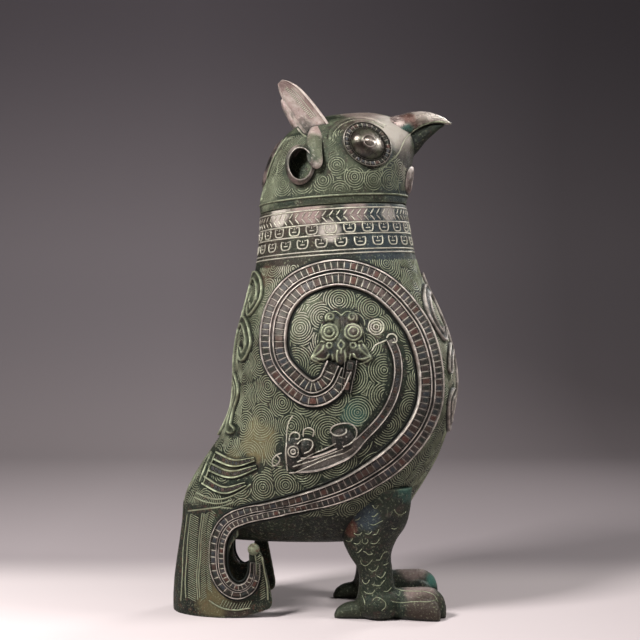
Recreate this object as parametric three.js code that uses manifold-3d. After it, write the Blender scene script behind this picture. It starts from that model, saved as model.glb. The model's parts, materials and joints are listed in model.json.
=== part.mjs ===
// Bird-shaped ritual wine vessel in cast bronze: a pear-shaped belly on two clawed legs and a tail,
// closed by a head that lifts off as the lid.
// Millimetres, +Z up. The bird faces +X and its right side is -Y. The origin lies on the floor,
// under the middle of the vessel's length.
import * as THREE from "three";
import { mergeVertices } from "three/addons/utils/BufferGeometryUtils.js";
import Module from "manifold-3d";

const wasm = await Module();
wasm.setup();

const { lerp, clamp, smoothstep } = THREE.MathUtils;

// Driving dimensions
const seatGap = 0.3; // clearance where one casting seats on another
const reliefRoot = 3; // relief is drawn this deep and then cut back to its seat
const bellyWall = 5;
const headWall = 4.5;
const tailWall = 6;
const rimHeight = 338; // the neck's rim, above the floor, where the neck's middle is
const rimRise = 0.062; // the rim climbs this much for each millimetre forward
const levelHeight = 200; // below this the belly's sections lie level
const tiltReach = 100; // and over this height above it they take on the rim's tilt
const tongueDepth = 14; // how far the lid's tongue reaches into the neck
const tongueWall = 4;
const tongueClearance = 0.6;
const tongueRoot = 7; // the head is solid round the neck up to here, where the tongue springs
const legSpread = 38; // from the middle plane to each leg's middle
const toeReach = 42; // where the toes spring from, along X
const toeSplay = 0.3; // radians between neighbouring toes
const eyeLength = 42;
const eyeHeight = 36;
const eyeTilt = -0.62; // radians, the front corner is the low one
const bandHeight = 3.2; // how far the wing band stands out
const coilHalfWidth = 11; // half the band's width round the coil
const sweepHalfWidth = 6.6; // and where it runs down the tail

// Facets round a section
const roundFacets = 28;
const innerFacets = 20;
const lumpFacets = 7;
const endStations = 5;
const eyeFacets = 14;

// The belly and neck, as level sections: [height, back, front, half width].
const bellySections = [
  [59, -92, 24, 20],
  [62, -108, 36, 34],
  [69, -121, 46, 45],
  [80, -129.5, 54.5, 53.5],
  [94, -130.5, 63, 62],
  [110, -124, 73, 69],
  [128, -113, 83, 75],
  [148, -100, 91, 80.5],
  [170, -90.5, 96.5, 84.5],
  [192, -88, 99, 86.5],
  [212, -87.5, 97, 86],
  [232, -85, 91.5, 83],
  [252, -80, 83, 77.5],
  [272, -75, 73, 70.5],
  [292, -70.5, 66, 64],
  [314, -67.5, 61.5, 59.5],
  [rimHeight, -66.5, 57.5, 57],
];
const eggShape = 0.22; // how much narrower the back of a low section is than its front
const eggLevels = [110, 260]; // between these the sections turn from egg-shaped to oval
const bellyFloor = bellySections[0][0];
const hollowFoot = [11, 30, 55]; // heights above the belly's floor where the hollow's lowest sections lie
const underside = [10, 40]; // between these heights above its floor the belly turns from bottom to side

// The head in the same terms, with heights above the rim.
const headSections = [
  [0, -66.5, 57.5, 57],
  [10, -66.5, 59, 58],
  [20, -64.5, 60.5, 58],
  [31, -62, 62, 57],
  [42, -58.5, 64, 54],
  [51, -55, 65, 50],
  [60, -49.5, 62, 44],
  [69, -41, 55.5, 35],
  [76, -28, 45, 25],
  [80, -9, 31, 12],
  [80.8, 3, 20, 4],
];
const headHollowTop = 73;
const crownFrom = 50; // the head's walls turn in above this
const crownTop = 80;

// Smooth curve through rows of [place, value, value, ...], read at any place.
function through(rows) {
  const slope = (i, k) => {
    const a = rows[Math.max(i - 1, 0)];
    const b = rows[Math.min(i + 1, rows.length - 1)];
    return (b[k] - a[k]) / (b[0] - a[0]);
  };
  return (place) => {
    let i = 0;
    while (i < rows.length - 2 && place > rows[i + 1][0]) i += 1;
    const span = rows[i + 1][0] - rows[i][0];
    const s = clamp((place - rows[i][0]) / span, 0, 1);
    return rows[i].slice(1).map((value, n) => {
      const k = n + 1;
      const next = rows[i + 1][k];
      return (
        value * (2 * s ** 3 - 3 * s ** 2 + 1) +
        slope(i, k) * span * (s ** 3 - 2 * s ** 2 + s) +
        next * (3 * s ** 2 - 2 * s ** 3) +
        slope(i + 1, k) * span * (s ** 3 - s ** 2)
      );
    });
  };
}

const bellyAt = through(bellySections);
const headAt = through(headSections);
const riseAt = (level) => rimRise * smoothstep(level, levelHeight, levelHeight + tiltReach);
const eggAt = (level) => eggShape * (1 - smoothstep(level, ...eggLevels));

// A point of a section: angle 0 is the front, and grow moves the wall outwards.
function sectionPoint([back, front, half], egg, level, rise, angle, grow) {
  const x = (back + front) / 2 + ((front - back) / 2 + grow) * Math.cos(angle);
  const y = (half + grow) * Math.sin(angle) * (1 + egg * Math.cos(angle));
  return new THREE.Vector3(x, y, level + rise * x);
}

function bellyPoint(level, angle, grow = 0) {
  return sectionPoint(bellyAt(level), eggAt(level), level, riseAt(level), angle, grow);
}

function headPoint(height, angle, grow = 0) {
  return sectionPoint(headAt(height), 0, rimHeight + height, rimRise, angle, grow);
}

// Half width of the belly at x and height z, or 0 outside it.
function bellyHalf(x, z) {
  let level = z;
  for (let round = 0; round < 6; round += 1) level = z - riseAt(level) * x;
  const [back, front, half] = bellyAt(level);
  const c = (x - (back + front) / 2) / ((front - back) / 2);
  return Math.abs(c) >= 1 ? 0 : half * Math.sqrt(1 - c * c) * (1 + eggAt(level) * c);
}

// Where the belly's surface lies along X at y and height z: side 1 is its front and -1 its back.
function bellyEnd(y, z, side) {
  let level = z;
  let x = 0;
  for (let round = 0; round < 5; round += 1) {
    const [back, front, half] = bellyAt(level);
    let low = 0;
    let high = Math.PI / 2;
    for (let step = 0; step < 24; step += 1) {
      const angle = (low + high) / 2;
      const width = half * Math.sin(angle) * (1 + eggAt(level) * side * Math.cos(angle));
      if (width < Math.abs(y)) low = angle;
      else high = angle;
    }
    x = (back + front) / 2 + side * ((front - back) / 2) * Math.cos(low);
    level = z - riseAt(level) * x;
  }
  return x;
}

// Solids

function middleOf(ring) {
  return ring.reduce((sum, p) => sum.add(p), new THREE.Vector3()).divideScalar(ring.length);
}

// The direction about which a ring turns left.
function normalOf(ring) {
  const normal = new THREE.Vector3();
  ring.forEach((p, i) => {
    const q = ring[(i + 1) % ring.length];
    normal.x += (p.y - q.y) * (p.z + q.z);
    normal.y += (p.z - q.z) * (p.x + q.x);
    normal.z += (p.x - q.x) * (p.y + q.y);
  });
  return normal.normalize();
}

// A ring's points in its own plane.
function flatten(ring) {
  const normal = normalOf(ring);
  const across = new THREE.Vector3(1, 0, 0);
  if (Math.abs(normal.x) > 0.9) across.set(0, 1, 0);
  across.cross(normal).normalize();
  const up = normal.clone().cross(across);
  return ring.map((p) => new THREE.Vector2(p.dot(across), p.dot(up)));
}

// Closed surface through rings of points that have the same count and turn the same way.
// A square is split from its lower corner nearer the front, which keeps left and right alike.
function loft(given) {
  const way = middleOf(given[1]).sub(middleOf(given[0]));
  const rings = normalOf(given[0]).dot(way) > 0 ? given : given.map((ring) => [...ring].reverse());
  const count = rings[0].length;
  const positions = [];
  const face = (a, b, c) => positions.push(...a.toArray(), ...b.toArray(), ...c.toArray());
  for (let i = 0; i < rings.length - 1; i += 1) {
    for (let j = 0; j < count; j += 1) {
      const k = (j + 1) % count;
      const [a, b, c, d] = [rings[i][j], rings[i][k], rings[i + 1][k], rings[i + 1][j]];
      if (a.x > b.x) {
        face(a, b, c);
        face(a, c, d);
      } else {
        face(a, b, d);
        face(b, c, d);
      }
    }
  }
  const cap = (ring, first) => {
    const flat = flatten(ring);
    for (const [a, b, c] of THREE.ShapeUtils.triangulateShape(flat, [])) {
      if (THREE.ShapeUtils.isClockWise(flat) !== first) face(ring[a], ring[c], ring[b]);
      else face(ring[a], ring[b], ring[c]);
    }
  };
  cap(rings[0], true);
  cap(rings[rings.length - 1], false);
  return new THREE.BufferGeometry().setAttribute("position", new THREE.Float32BufferAttribute(positions, 3));
}

// A geometry as a solid that can be joined and cut.
function solid(geometry) {
  const bare = geometry.index ? geometry.toNonIndexed() : geometry.clone();
  bare.deleteAttribute("normal");
  bare.deleteAttribute("uv");
  const merged = mergeVertices(bare, 1e-4);
  return new wasm.Manifold(
    new wasm.Mesh({
      numProp: 3,
      vertProperties: merged.attributes.position.array,
      triVerts: new Uint32Array(merged.index.array),
    }),
  );
}

function geometryOf(made) {
  const mesh = made.getMesh();
  const geometry = new THREE.BufferGeometry();
  geometry.setAttribute("position", new THREE.Float32BufferAttribute(mesh.vertProperties, 3));
  geometry.setIndex(new THREE.BufferAttribute(mesh.triVerts, 1));
  geometry.computeVertexNormals();
  return geometry;
}

const lofted = (rings) => solid(loft(rings));
const joined = (solids) => solids.reduce((all, one) => all.add(one));
const placed = (geometry, matrix) => solid(geometry.clone().applyMatrix4(matrix));
const moved = (x, y, z) => new THREE.Matrix4().makeTranslation(x, y, z);

// The same piece on the bird's left side, with its faces turned to point outwards again.
function mirrored(geometry) {
  const other = geometry.clone().applyMatrix4(new THREE.Matrix4().makeScale(1, -1, 1));
  const turned = [];
  const corners = geometry.index.array;
  for (let i = 0; i < corners.length; i += 3) turned.push(corners[i], corners[i + 2], corners[i + 1]);
  other.setIndex(turned);
  other.computeVertexNormals();
  return other;
}

function ringOf(count, point) {
  return Array.from({ length: count }, (_, i) => point((2 * Math.PI * i) / count));
}

// Places from one value to another, in equal steps.
function spread(from, to, steps) {
  return Array.from({ length: steps + 1 }, (_, i) => lerp(from, to, i / steps));
}

function curveThrough(points) {
  return new THREE.CatmullRomCurve3(points, false, "centripetal");
}

// An ellipsoid about a point, with its radii along X, Y and Z.
function ball(x, y, z, a, b, c, tilt = 0) {
  const matrix = moved(x, y, z);
  matrix.multiply(new THREE.Matrix4().makeRotationY(tilt));
  matrix.multiply(new THREE.Matrix4().makeScale(a, b, c));
  return placed(new THREE.SphereGeometry(1, lumpFacets, lumpFacets - 2), matrix);
}

// Belly

// The belly's outer form, filled, up to a height. grow swells it all over.
function bellyForm(grow, top) {
  const levels = [...bellySections.slice(0, -1).map(([level]) => level), top];
  const [under, side] = underside.map((up) => bellyFloor + up);
  const drop = (level) => grow * (1 - smoothstep(level, under, side));
  const rings = levels.map((level) =>
    ringOf(roundFacets, (angle) => {
      const point = bellyPoint(level, angle, grow);
      return point.setZ(point.z - drop(level));
    }),
  );
  return lofted(rings);
}

function bellyCavity() {
  const [lowest, low, wide] = hollowFoot.map((up) => bellyFloor + up);
  const levels = [bellyFloor + bellyWall, lowest, low, ...spread(wide, rimHeight - 2, 8)];
  const rings = levels.map((level) => ringOf(innerFacets, (angle) => bellyPoint(level, angle, -bellyWall)));
  const above = ringOf(innerFacets, (angle) => {
    const point = bellyPoint(rimHeight, angle, -bellyWall);
    return point.setZ(point.z + 2 * bellyWall);
  });
  return lofted([...rings, above]);
}

const bellySwollen = bellyForm(seatGap, rimHeight + 1);
const bellyShell = bellyForm(0, rimHeight).subtract(bellyCavity());

// Tail: an upright plate bent round the rump, with a hooked foot on each side.

const tailTop = 92;
const tailBack = -140.5;
const tailFront = -54;
const tailTurn = -84; // where the sides start to bend towards the back
const tailHalf = 40;
const tailProud = 1.2; // how far the plate stands out of the rump at its top edge
const notchBack = -92;
const notchFront = -73.5;
const notchFloor = 30;
const hookTop = 59;
const hookLean = 9; // how far the hook's tip leans back from the sides' front edge
const cornerRise = 7.5; // how far the sides' front corners clear the floor
const cornerRound = 8;
const notchLean = 10; // how far the edge behind the notch leans forward as it meets the rump
const pastEdge = 10; // a cutting outline runs on this far past what it cuts

// One half of the tail's outline at height z, from its back to its front, drawn in by inset.
function tailOutline(z, inset) {
  const up = smoothstep(z, 10, tailTop);
  const rumpBack = bellyAt(tailTop)[0];
  const back = lerp(tailBack, rumpBack - tailProud, up) + inset;
  const half = tailHalf - inset;
  const steps = 8;
  return spread(0, 1, steps).map((share, i) => {
    const x = back + (tailFront - back) * (1 - Math.cos((share * Math.PI) / 2));
    const bend = Math.min((x - tailTurn) / (tailTurn - back), 0);
    const foot = half * Math.sqrt(Math.max(1 - bend * bend, 0));
    const rump = Math.max(bellyHalf(Math.max(x, rumpBack + 0.5), tailTop) + tailProud - inset, 0);
    return new THREE.Vector3(x, i === 0 ? 0 : lerp(foot, rump, up), z);
  });
}

// Half width of the tail's outer face at x and height z.
function tailHalfAt(x, z) {
  const points = tailOutline(clamp(z, 0, tailTop), 0);
  const next = points.findIndex((point) => point.x > x);
  if (next < 1) return 0;
  const [a, b] = [points[next - 1], points[next]];
  return lerp(a.y, b.y, (x - a.x) / (b.x - a.x));
}

// A closed ring from one half of an outline.
function bothHalves(points) {
  const right = points.slice(1).map((p) => new THREE.Vector3(p.x, -p.y, p.z));
  return [...points.slice(1).reverse(), points[0], ...right];
}

const tailLevels = [0, 12, 26, 42, 58, 75, tailTop];

// The tail's outer form, filled and swollen, which relief on it seats against.
function tailForm(grow) {
  const rings = [-5, ...tailLevels].map((z) => {
    const ring = bothHalves(tailOutline(Math.max(z, 0), -grow));
    return ring.map((point) => point.setZ(z));
  });
  return lofted(rings);
}

// The side view of the tail, with the hook and the notch behind it.
function tailSide() {
  const radius = (notchFront - notchBack) / 2;
  const knobFront = tailFront - hookLean;
  const bend = cornerRound / 2;
  const knob = hookTop - bend - 1;
  const side = new THREE.Shape();
  side.moveTo(tailBack - pastEdge, 0);
  side.lineTo(notchBack, 0);
  side.quadraticCurveTo(notchFront, 1, tailFront - bend, cornerRise);
  side.quadraticCurveTo(tailFront, cornerRise + bend / 2, tailFront - 1, cornerRise + cornerRound);
  side.quadraticCurveTo(tailFront - bend, (cornerRise + hookTop) / 2, knobFront, knob);
  side.quadraticCurveTo((knobFront + notchFront) / 2, hookTop + bend, notchFront, knob);
  side.lineTo(notchFront, notchFloor + radius);
  side.absarc(notchBack + radius, notchFloor + radius, radius, 0, -Math.PI, true);
  side.quadraticCurveTo(notchBack, hookTop, notchBack + notchLean, hookTop + notchLean);
  side.lineTo(notchBack + notchLean, tailTop + pastEdge);
  side.lineTo(tailBack - pastEdge, tailTop + pastEdge);
  const depth = 4 * tailHalf;
  const geometry = new THREE.ExtrudeGeometry(side, { depth, bevelEnabled: false, curveSegments: 6 });
  geometry.rotateX(Math.PI / 2).translate(0, depth / 2, 0);
  return solid(geometry);
}

function tailPlate() {
  const rings = tailLevels.map((z) => {
    const inner = bothHalves(tailOutline(z, tailWall)).reverse();
    return [...bothHalves(tailOutline(z, 0)), ...inner];
  });
  return lofted(rings).intersect(tailSide()).subtract(bellySwollen);
}

const tailSwollen = tailForm(seatGap);

// Relief on the sides

// A band along a path of [x, z], laid on the bird's right wall.
// profile holds [share of the half width, height above the wall] from one edge to the other.
function sideBand(path, halfWidth, profile, stations) {
  const curve = curveThrough(path.map(([x, z]) => new THREE.Vector3(x, 0, z)));
  const rings = spread(0, 1, stations).map((share) => {
    const middle = curve.getPointAt(share);
    const along = curve.getTangentAt(share);
    const half = halfWidth(share);
    const at = (across, height) => {
      const x = middle.x - along.z * across * half;
      const z = middle.z + along.x * across * half;
      const wall = Math.max(bellyHalf(x, z), z < tailTop ? tailHalfAt(x, z) : 0);
      return new THREE.Vector3(x, -(wall + height), z);
    };
    const face = profile.map(([across, height]) => at(across, height));
    return [...face, at(1, -reliefRoot), at(-1, -reliefRoot)];
  });
  return lofted(rings);
}

const lowHeight = 1.9; // how far the lesser bands stand out
const lowProfile = [[-1, lowHeight / 4], [-0.65, lowHeight], [0.65, lowHeight], [1, lowHeight / 4]];

// The wing: a serpent's body that springs from under the mask, coils round it, sweeps below the belly
// and ends round the tail's hook. A groove parts its row of broad scales from its row of small ones.
const wingPath = [
  [0, 208], [-8, 192.5], [-22, 186.5], [-40, 198.7], [-50, 213], [-52.3, 230], [-50, 246.8], [-43.7, 260.3],
  [-30.2, 273.5], [-4, 281.9], [14.4, 279.5], [31.1, 272.3], [43.9, 261.9], [53.5, 250.8], [62.7, 237.2],
  [69.1, 220.3], [72.5, 200.2], [71.5, 178.5], [64.2, 160.1], [53.7, 145.8], [41.6, 133.8], [26.4, 122.9],
  [11.2, 113.9], [-6.4, 106.2], [-30.6, 98.5], [-55.3, 91.7], [-76.1, 86], [-89.6, 79], [-97, 67],
  [-99.2, 51.4], [-97.6, 36.5], [-91, 26], [-82.5, 22.4], [-73.5, 26.5], [-69, 36], [-68, 47],
];

const wingStations = 33;

function wingBand(grow = 0) {
  const edge = bandHeight * 0.2;
  const groove = bandHeight * 0.45;
  const low = bandHeight * 0.8;
  const row = [[0.24, bandHeight], [0.9, bandHeight]];
  const profile = [[-1, edge], [-0.88, low], [0, low], [0.12, groove], ...row, [1, edge]];
  const half = (share) => {
    const tip = 1 - 0.35 * smoothstep(share, 0.93, 1);
    return lerp(coilHalfWidth, sweepHalfWidth, smoothstep(share, 0.6, 0.8)) * tip + grow;
  };
  return sideBand(wingPath, half, profile, wingStations).subtract(bellySwollen).subtract(tailSwollen);
}

const wingSwollen = wingBand(seatGap);

// A rounded lump on the bird's right wall.
function lump(x, z, rise, a, b, c, tilt = 0) {
  return ball(x, -bellyHalf(x, z) - rise, z, a, b, c, tilt);
}

// Mask in high relief at the middle of the coil: brow, muzzle, ringed eyes, curled horns and fangs.
// Each row is [x from the middle, z from the middle, rise of the lump's centre, radii along X, Y and Z].
const maskMiddle = { x: 2, z: 230 };
const maskBrow = [0, 3, 1, 14, 7, 19];
const maskMuzzle = [0, -11, 3, 7, 6.5, 11];
const maskEye = [9.4, 4, 3.5, 7.5, 6, 8];
const maskHorn = [8.6, 17, 1.5, 5.5, 4.5, 5.5];
const maskFang = [15.5, -11.5, 2.5, 6, 5.5, 10.5];
const fangTilt = 0.7; // radians

function wingMask() {
  const at = ([dx, dz, ...rest], side = 1, tilt = 0) => {
    return lump(maskMiddle.x + side * dx, maskMiddle.z + dz, ...rest, -side * tilt);
  };
  const pair = (side) => [at(maskEye, side), at(maskHorn, side), at(maskFang, side, fangTilt)];
  const halves = [...pair(-1), ...pair(1)];
  return joined([at(maskBrow), at(maskMuzzle), ...halves]).subtract(bellySwollen).subtract(wingSwollen);
}

// The lesser serpent inside the wing's sweep: a thin neck, a crest, and a head that faces the tail.
const serpentPath = [
  [39.5, 228.6], [44.3, 216.7], [45.5, 203.2], [43.5, 190.5], [38.8, 177.9], [30.9, 165.9], [19, 153.1],
  [9.5, 143.9], [-2.4, 137.3], [-18.4, 131], [-34, 129],
];

const serpentNeckHalf = 3.3;
const serpentHeadHalf = 6.5;
// Its crest, head, eye and horn: [x, z, rise of the lump's centre, radii along X, Y and Z].
const serpentLumps = [
  [2.5, 151, 0, 9, 4.5, 9],
  [-35.5, 138.5, 0, 8.5, 5, 13],
  [-36, 140, 0, 4, 7, 4],
  [-25, 143.5, 0, 6, 4, 8],
];

function serpentBand() {
  const half = (share) => lerp(serpentNeckHalf, serpentHeadHalf, smoothstep(share, 0.58, 0.75));
  const lumps = serpentLumps.map((row) => lump(...row));
  return joined([sideBand(serpentPath, half, lowProfile, 12), ...lumps]).subtract(bellySwollen);
}

// Nested plumes on the rump, joined along the back.
const plumePaths = [
  [[-101.7, 131.3], [-85, 127.5], [-67.8, 132]],
  [[-106.6, 122.2], [-87.6, 118.5], [-66, 126]],
  [[-111.6, 111.4], [-93.4, 105.5], [-75, 112]],
];
const plumeHalf = 3.9; // half a plume's width at the quill
const quillPath = [[-103.5, 133], [-108, 122], [-113, 109]];
const quillHalf = 2.6;

function rumpPlumes() {
  const half = (share) => plumeHalf * (1 - 0.6 * share ** 2);
  const plumes = plumePaths.map((path) => sideBand(path, half, lowProfile, 4));
  return joined([sideBand(quillPath, () => quillHalf, lowProfile, 3), ...plumes]).subtract(bellySwollen);
}

// Relief on the breast and the back

// A band along a path of [y, z] on the front (side 1) or the back (side -1) of the belly.
function endBand(side, path, halfWidth, height) {
  const curve = curveThrough(path.map(([y, z]) => new THREE.Vector3(0, y, z)));
  const rings = spread(0, 1, endStations).map((share) => {
    const middle = curve.getPointAt(share);
    const along = curve.getTangentAt(share);
    const at = (across, rise) => {
      const y = middle.y - along.z * across * halfWidth;
      const z = middle.z + along.y * across * halfWidth;
      return new THREE.Vector3(bellyEnd(y, z, side) + side * rise, y, z);
    };
    const edge = height / 4;
    const face = [at(-1, edge), at(-0.6, height), at(0.6, height), at(1, edge)];
    return [...face, at(1, -reliefRoot), at(-1, -reliefRoot)];
  });
  return lofted(rings);
}

// Bands on both halves of one end, joined by a ridge down the middle.
function endRelief(side, { paths, halfWidth, height, ridge }) {
  const bands = paths.flatMap((path) =>
    [-1, 1].map((half) => endBand(side, path.map(([y, z]) => [half * y, z]), halfWidth, height)),
  );
  const line = spread(ridge.top, ridge.foot, 2).map((z) => [0, z]);
  return joined([endBand(side, line, halfWidth, ridge.height), ...bands]).subtract(bellySwollen);
}

// A path whose rows give their height from a place on the ridge.
const from = (z, rows) => rows.map(([y, up]) => [y, z + up]);

const breastRidge = { top: 284, foot: 150, height: 3.4 };
const breast = {
  ridge: breastRidge,
  halfWidth: 4.5,
  height: 2.9,
  paths: [
    from(breastRidge.top, [[0, -22], [16, -14], [32, -22], [40, -39], [33, -53], [23, -46]]),
    [[0, 214], [16, 221], [30, 214], [39, 201]],
    from(breastRidge.foot, [[0, 10], [15, 6], [30, 14], [37, 29], [27, 37]]),
  ],
};
const backRidge = { top: 286, foot: 146, height: 3 };
const back = {
  ridge: backRidge,
  halfWidth: 4,
  height: 2.5,
  paths: [
    from(backRidge.top, [[0, -10], [14, -4], [30, -10], [38, -24], [31, -35], [23, -27]]),
    [[0, 238], [16, 244], [34, 237], [42, 224], [34, 214], [26, 222]],
    from(backRidge.foot, [[0, 44], [13, 50], [24, 40], [18, 24], [22, 10], [34, 6]]),
  ],
};

// Legs: a feathered thigh and shank over three front toes and a spur.

// Level sections of a leg: [height, middle x, half length, half width].
const legSections = [
  [15, 32, 18, 14],
  [24, 31, 15, 13],
  [40, 29.5, 14.2, 12.6],
  [52, 25.5, 17.4, 14.5],
  [64, 25, 22, 18.5],
  [76, 28.5, 26.3, 21.3],
  [90, 31, 27.5, 22],
  [108, 35, 25, 21],
];

// Shape of a toe along its length: [share of the length, share of the width, share of the height].
const toeRows = [[0, 0.9, 0.95], [0.35, 1, 1], [0.75, 0.9, 1], [0.94, 0.65, 0.75], [1, 0.25, 0.45]];

// dip is how much lower its tip is than its root, beside what the rows take off.
const middleToe = { length: 46, halfWidth: 9, height: 24, dip: 1 };
const sideToe = { length: 42, halfWidth: 8.5, height: 17, dip: 0 };
const spur = { length: 46, halfWidth: 8, height: 15, dip: 3.5 };
const footBall = { back: 9, height: 12, radii: [19, 17, 15] }; // back is behind the toes' root

// A toe or spur that lies on the floor from the foot's middle towards a heading.
function toe(heading, { length, halfWidth, height, dip }) {
  const rings = toeRows.map(([share, wide, tall]) => {
    const x = toeReach + Math.cos(heading) * length * share;
    const y = Math.sin(heading) * length * share;
    const top = height * tall - dip * share;
    return ringOf(lumpFacets, (angle) => {
      const across = halfWidth * wide * Math.cos(angle);
      const up = top * (0.5 + 0.56 * Math.sin(angle));
      return new THREE.Vector3(x - Math.sin(heading) * across, y + Math.cos(heading) * across, up);
    });
  });
  return lofted(rings);
}

function leg() {
  const shank = lofted(
    legSections.map(([z, x, long, wide]) =>
      ringOf(12, (angle) => new THREE.Vector3(x + long * Math.cos(angle), wide * Math.sin(angle), z)),
    ),
  );
  const foot = [
    toe(0, middleToe),
    toe(-toeSplay, sideToe),
    toe(toeSplay, sideToe),
    toe(Math.PI, spur),
    ball(toeReach - footBall.back, 0, footBall.height, ...footBall.radii),
  ];
  const reach = 2 * (toeReach + middleToe.length);
  const underFloor = placed(new THREE.BoxGeometry(2 * reach, reach, reach), moved(0, 0, -reach / 2));
  const whole = joined([shank, ...foot]).subtract(underFloor);
  return whole.translate([0, -legSpread, 0]).subtract(bellySwollen);
}

// Head, which is the lid

function headForm(grow) {
  const rings = headSections.map(([height]) =>
    ringOf(roundFacets, (angle) => {
      const point = headPoint(height, angle, grow);
      const lift = height === 0 ? seatGap - 3 * grow : grow * smoothstep(height, crownFrom, crownTop);
      return point.setZ(point.z + lift);
    }),
  );
  return lofted(rings);
}

// A plug between two heights about the rim, drawn in from the neck's outer wall by inset.
function neckPlug(from, to, inset) {
  return lofted(
    [from, to].map((height) =>
      ringOf(innerFacets, (angle) => {
        const point = bellyPoint(rimHeight, angle, -inset);
        return point.setZ(point.z + height);
      }),
    ),
  );
}

const tongueInset = bellyWall + tongueClearance;

function headShell() {
  const levels = [tongueRoot, 19, 33, 46, 58, 67, headHollowTop];
  const inwards = -headWall - tongueClearance;
  const ring = (height) => ringOf(innerFacets, (angle) => headPoint(height, angle, inwards));
  const hollow = lofted(levels.map(ring));
  const tongue = neckPlug(-tongueDepth, tongueRoot - 2, tongueInset);
  const bore = neckPlug(-tongueDepth - 1, tongueRoot + 1, tongueInset + tongueWall);
  return headForm(0).subtract(hollow).add(tongue).subtract(bore);
}

const headSwollen = headForm(seatGap);

// Beak, as upright sections across X: [x, top, bottom, half width], with heights above the rim.
const upperBeakRows = [
  [38, 78, 50, 27],
  [50, 80, 55, 23],
  [61, 83, 62.5, 18],
  [70, 83.8, 68.5, 13.5],
  [80, 82.6, 72.3, 9],
  [88, 79.6, 73.2, 5.2],
  [94, 75.8, 72.8, 2.2],
  [96.2, 74.2, 73, 0.9],
];
const lowerBeakRows = [
  [50, 62, 38, 16],
  [58, 66, 42, 13.5],
  [66.5, 70, 48.5, 11],
  [74.5, 73, 58.5, 8],
  [81, 74, 64.5, 5.5],
  [87, 73.5, 69.8, 2.8],
  [90, 73, 71.4, 1.4],
];

function beak(rows, grow = 0) {
  const rings = rows.map(([x, top, bottom, half]) =>
    ringOf(12, (angle) => {
      const up = Math.sin(angle);
      const reach = (top - bottom) / 2 + grow;
      const height = (top + bottom) / 2 + reach * Math.sign(up) * Math.abs(up) ** 0.85;
      return new THREE.Vector3(x, (half + grow) * Math.cos(angle), rimHeight + height);
    }),
  );
  return lofted(rings).subtract(headSwollen);
}

// Ear: a hollow horn that leans back, a lobe that hangs before it and an open cup behind the lobe.
// Horn rows: [x, height above the rim, half width, depth].
const hornRows = [
  [-9, 53, 8.5, 5],
  [-17.7, 64, 10.6, 6.5],
  [-29.4, 78.7, 11, 7],
  [-37.5, 90, 9.2, 6],
  [-44, 97.4, 6.6, 4.6],
  [-48.3, 101.8, 2.8, 2.8],
];
const hornAcross = new THREE.Vector2(0.72, 0.69); // the way the horn's width lies in the side view
const hornFoot = -31; // where the horn's edges stand, along Y, at its foot
const hornLean = 8; // and how much further out they stand at its tip
const hornWall = 3.2;
const hornScoop = 1.2; // how far the hollow cuts past the horn's edges
// Lobe path: [x, y, height above the rim].
const lobePath = [[-18, -30, 64], [-20, -45, 53], [-20, -56.5, 39], [-18.5, -59.5, 28]];
const lobeHalf = { along: 6.4, out: 3.2 };
const cup = { x: -31.5, y: -48.5, height: 32.3, radii: [12.5, 12, 16.5], wall: 3, mouth: -58 };

function earHorn() {
  const rings = hornRows.map(([x, height, half, deep], i) => {
    const edge = hornFoot - (hornLean * i) / (hornRows.length - 1);
    const at = (across, inwards) => {
      const up = height + hornAcross.y * across;
      return new THREE.Vector3(x + hornAcross.x * across, edge + inwards, rimHeight + up);
    };
    const back = spread(0, Math.PI, 5).map((angle) => at(half * Math.cos(angle), deep * Math.sin(angle)));
    const hollow = spread(Math.PI, 0, 5).map((angle) =>
      at(0.8 * half * Math.cos(angle), (deep - hornWall) * Math.sin(angle) - hornScoop),
    );
    return [...back, ...hollow];
  });
  return lofted(rings);
}

function earLobe() {
  const curve = curveThrough(lobePath.map(([x, y, height]) => new THREE.Vector3(x, y, rimHeight + height)));
  const across = new THREE.Vector3(1, 0, 0);
  const rings = spread(0, 1, 6).map((share) => {
    const middle = curve.getPointAt(share);
    const outward = curve.getTangentAt(share).cross(across).normalize();
    const round = share > 0.9 ? 0.6 : 1;
    return ringOf(lumpFacets, (angle) =>
      middle
        .clone()
        .addScaledVector(across, lobeHalf.along * round * Math.cos(angle))
        .addScaledVector(outward, lobeHalf.out * round * Math.sin(angle)),
    );
  });
  return lofted(rings);
}

function earCup() {
  const [a, b, c] = cup.radii;
  const level = rimHeight + cup.height;
  const hollow = ball(cup.x, cup.y - cup.wall, level, a - cup.wall, b - cup.wall / 2, c - cup.wall);
  const outside = placed(new THREE.BoxGeometry(4 * a, 4 * b, 4 * c), moved(cup.x, cup.mouth - 2 * b, level));
  return ball(cup.x, cup.y, level, a, b, c).subtract(hollow).subtract(outside);
}

// Eye: a ringed plate with a domed ball and a pupil boss, set in the side of the head.
// Profile: [share of the radius, height].
const eyeProfile = [
  [0, -12], [1, -12], [1, 1.8], [0.93, 2.9], [0.86, 2.2], [0.74, 2.2], [0.66, 4.4],
  [0.45, 7.6], [0.27, 9], [0.22, 10.2], [0, 11.2],
];

const eyeMiddle = { x: 22.5, y: -48.6, height: 48.8 };
const eyeToFront = 0.2; // radians
const eyeToSky = 0.22;

function eye() {
  const lathe = new THREE.LatheGeometry(eyeProfile.map(([r, h]) => new THREE.Vector2(r, h)), eyeFacets);
  const matrix = moved(eyeMiddle.x, eyeMiddle.y, rimHeight + eyeMiddle.height);
  matrix.multiply(new THREE.Matrix4().makeRotationZ(eyeToFront));
  matrix.multiply(new THREE.Matrix4().makeRotationX(Math.PI - eyeToSky));
  matrix.multiply(new THREE.Matrix4().makeRotationY(eyeTilt));
  matrix.multiply(new THREE.Matrix4().makeScale(eyeLength / 2, 1, eyeHeight / 2));
  return placed(lathe, matrix).subtract(headSwollen);
}

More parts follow.
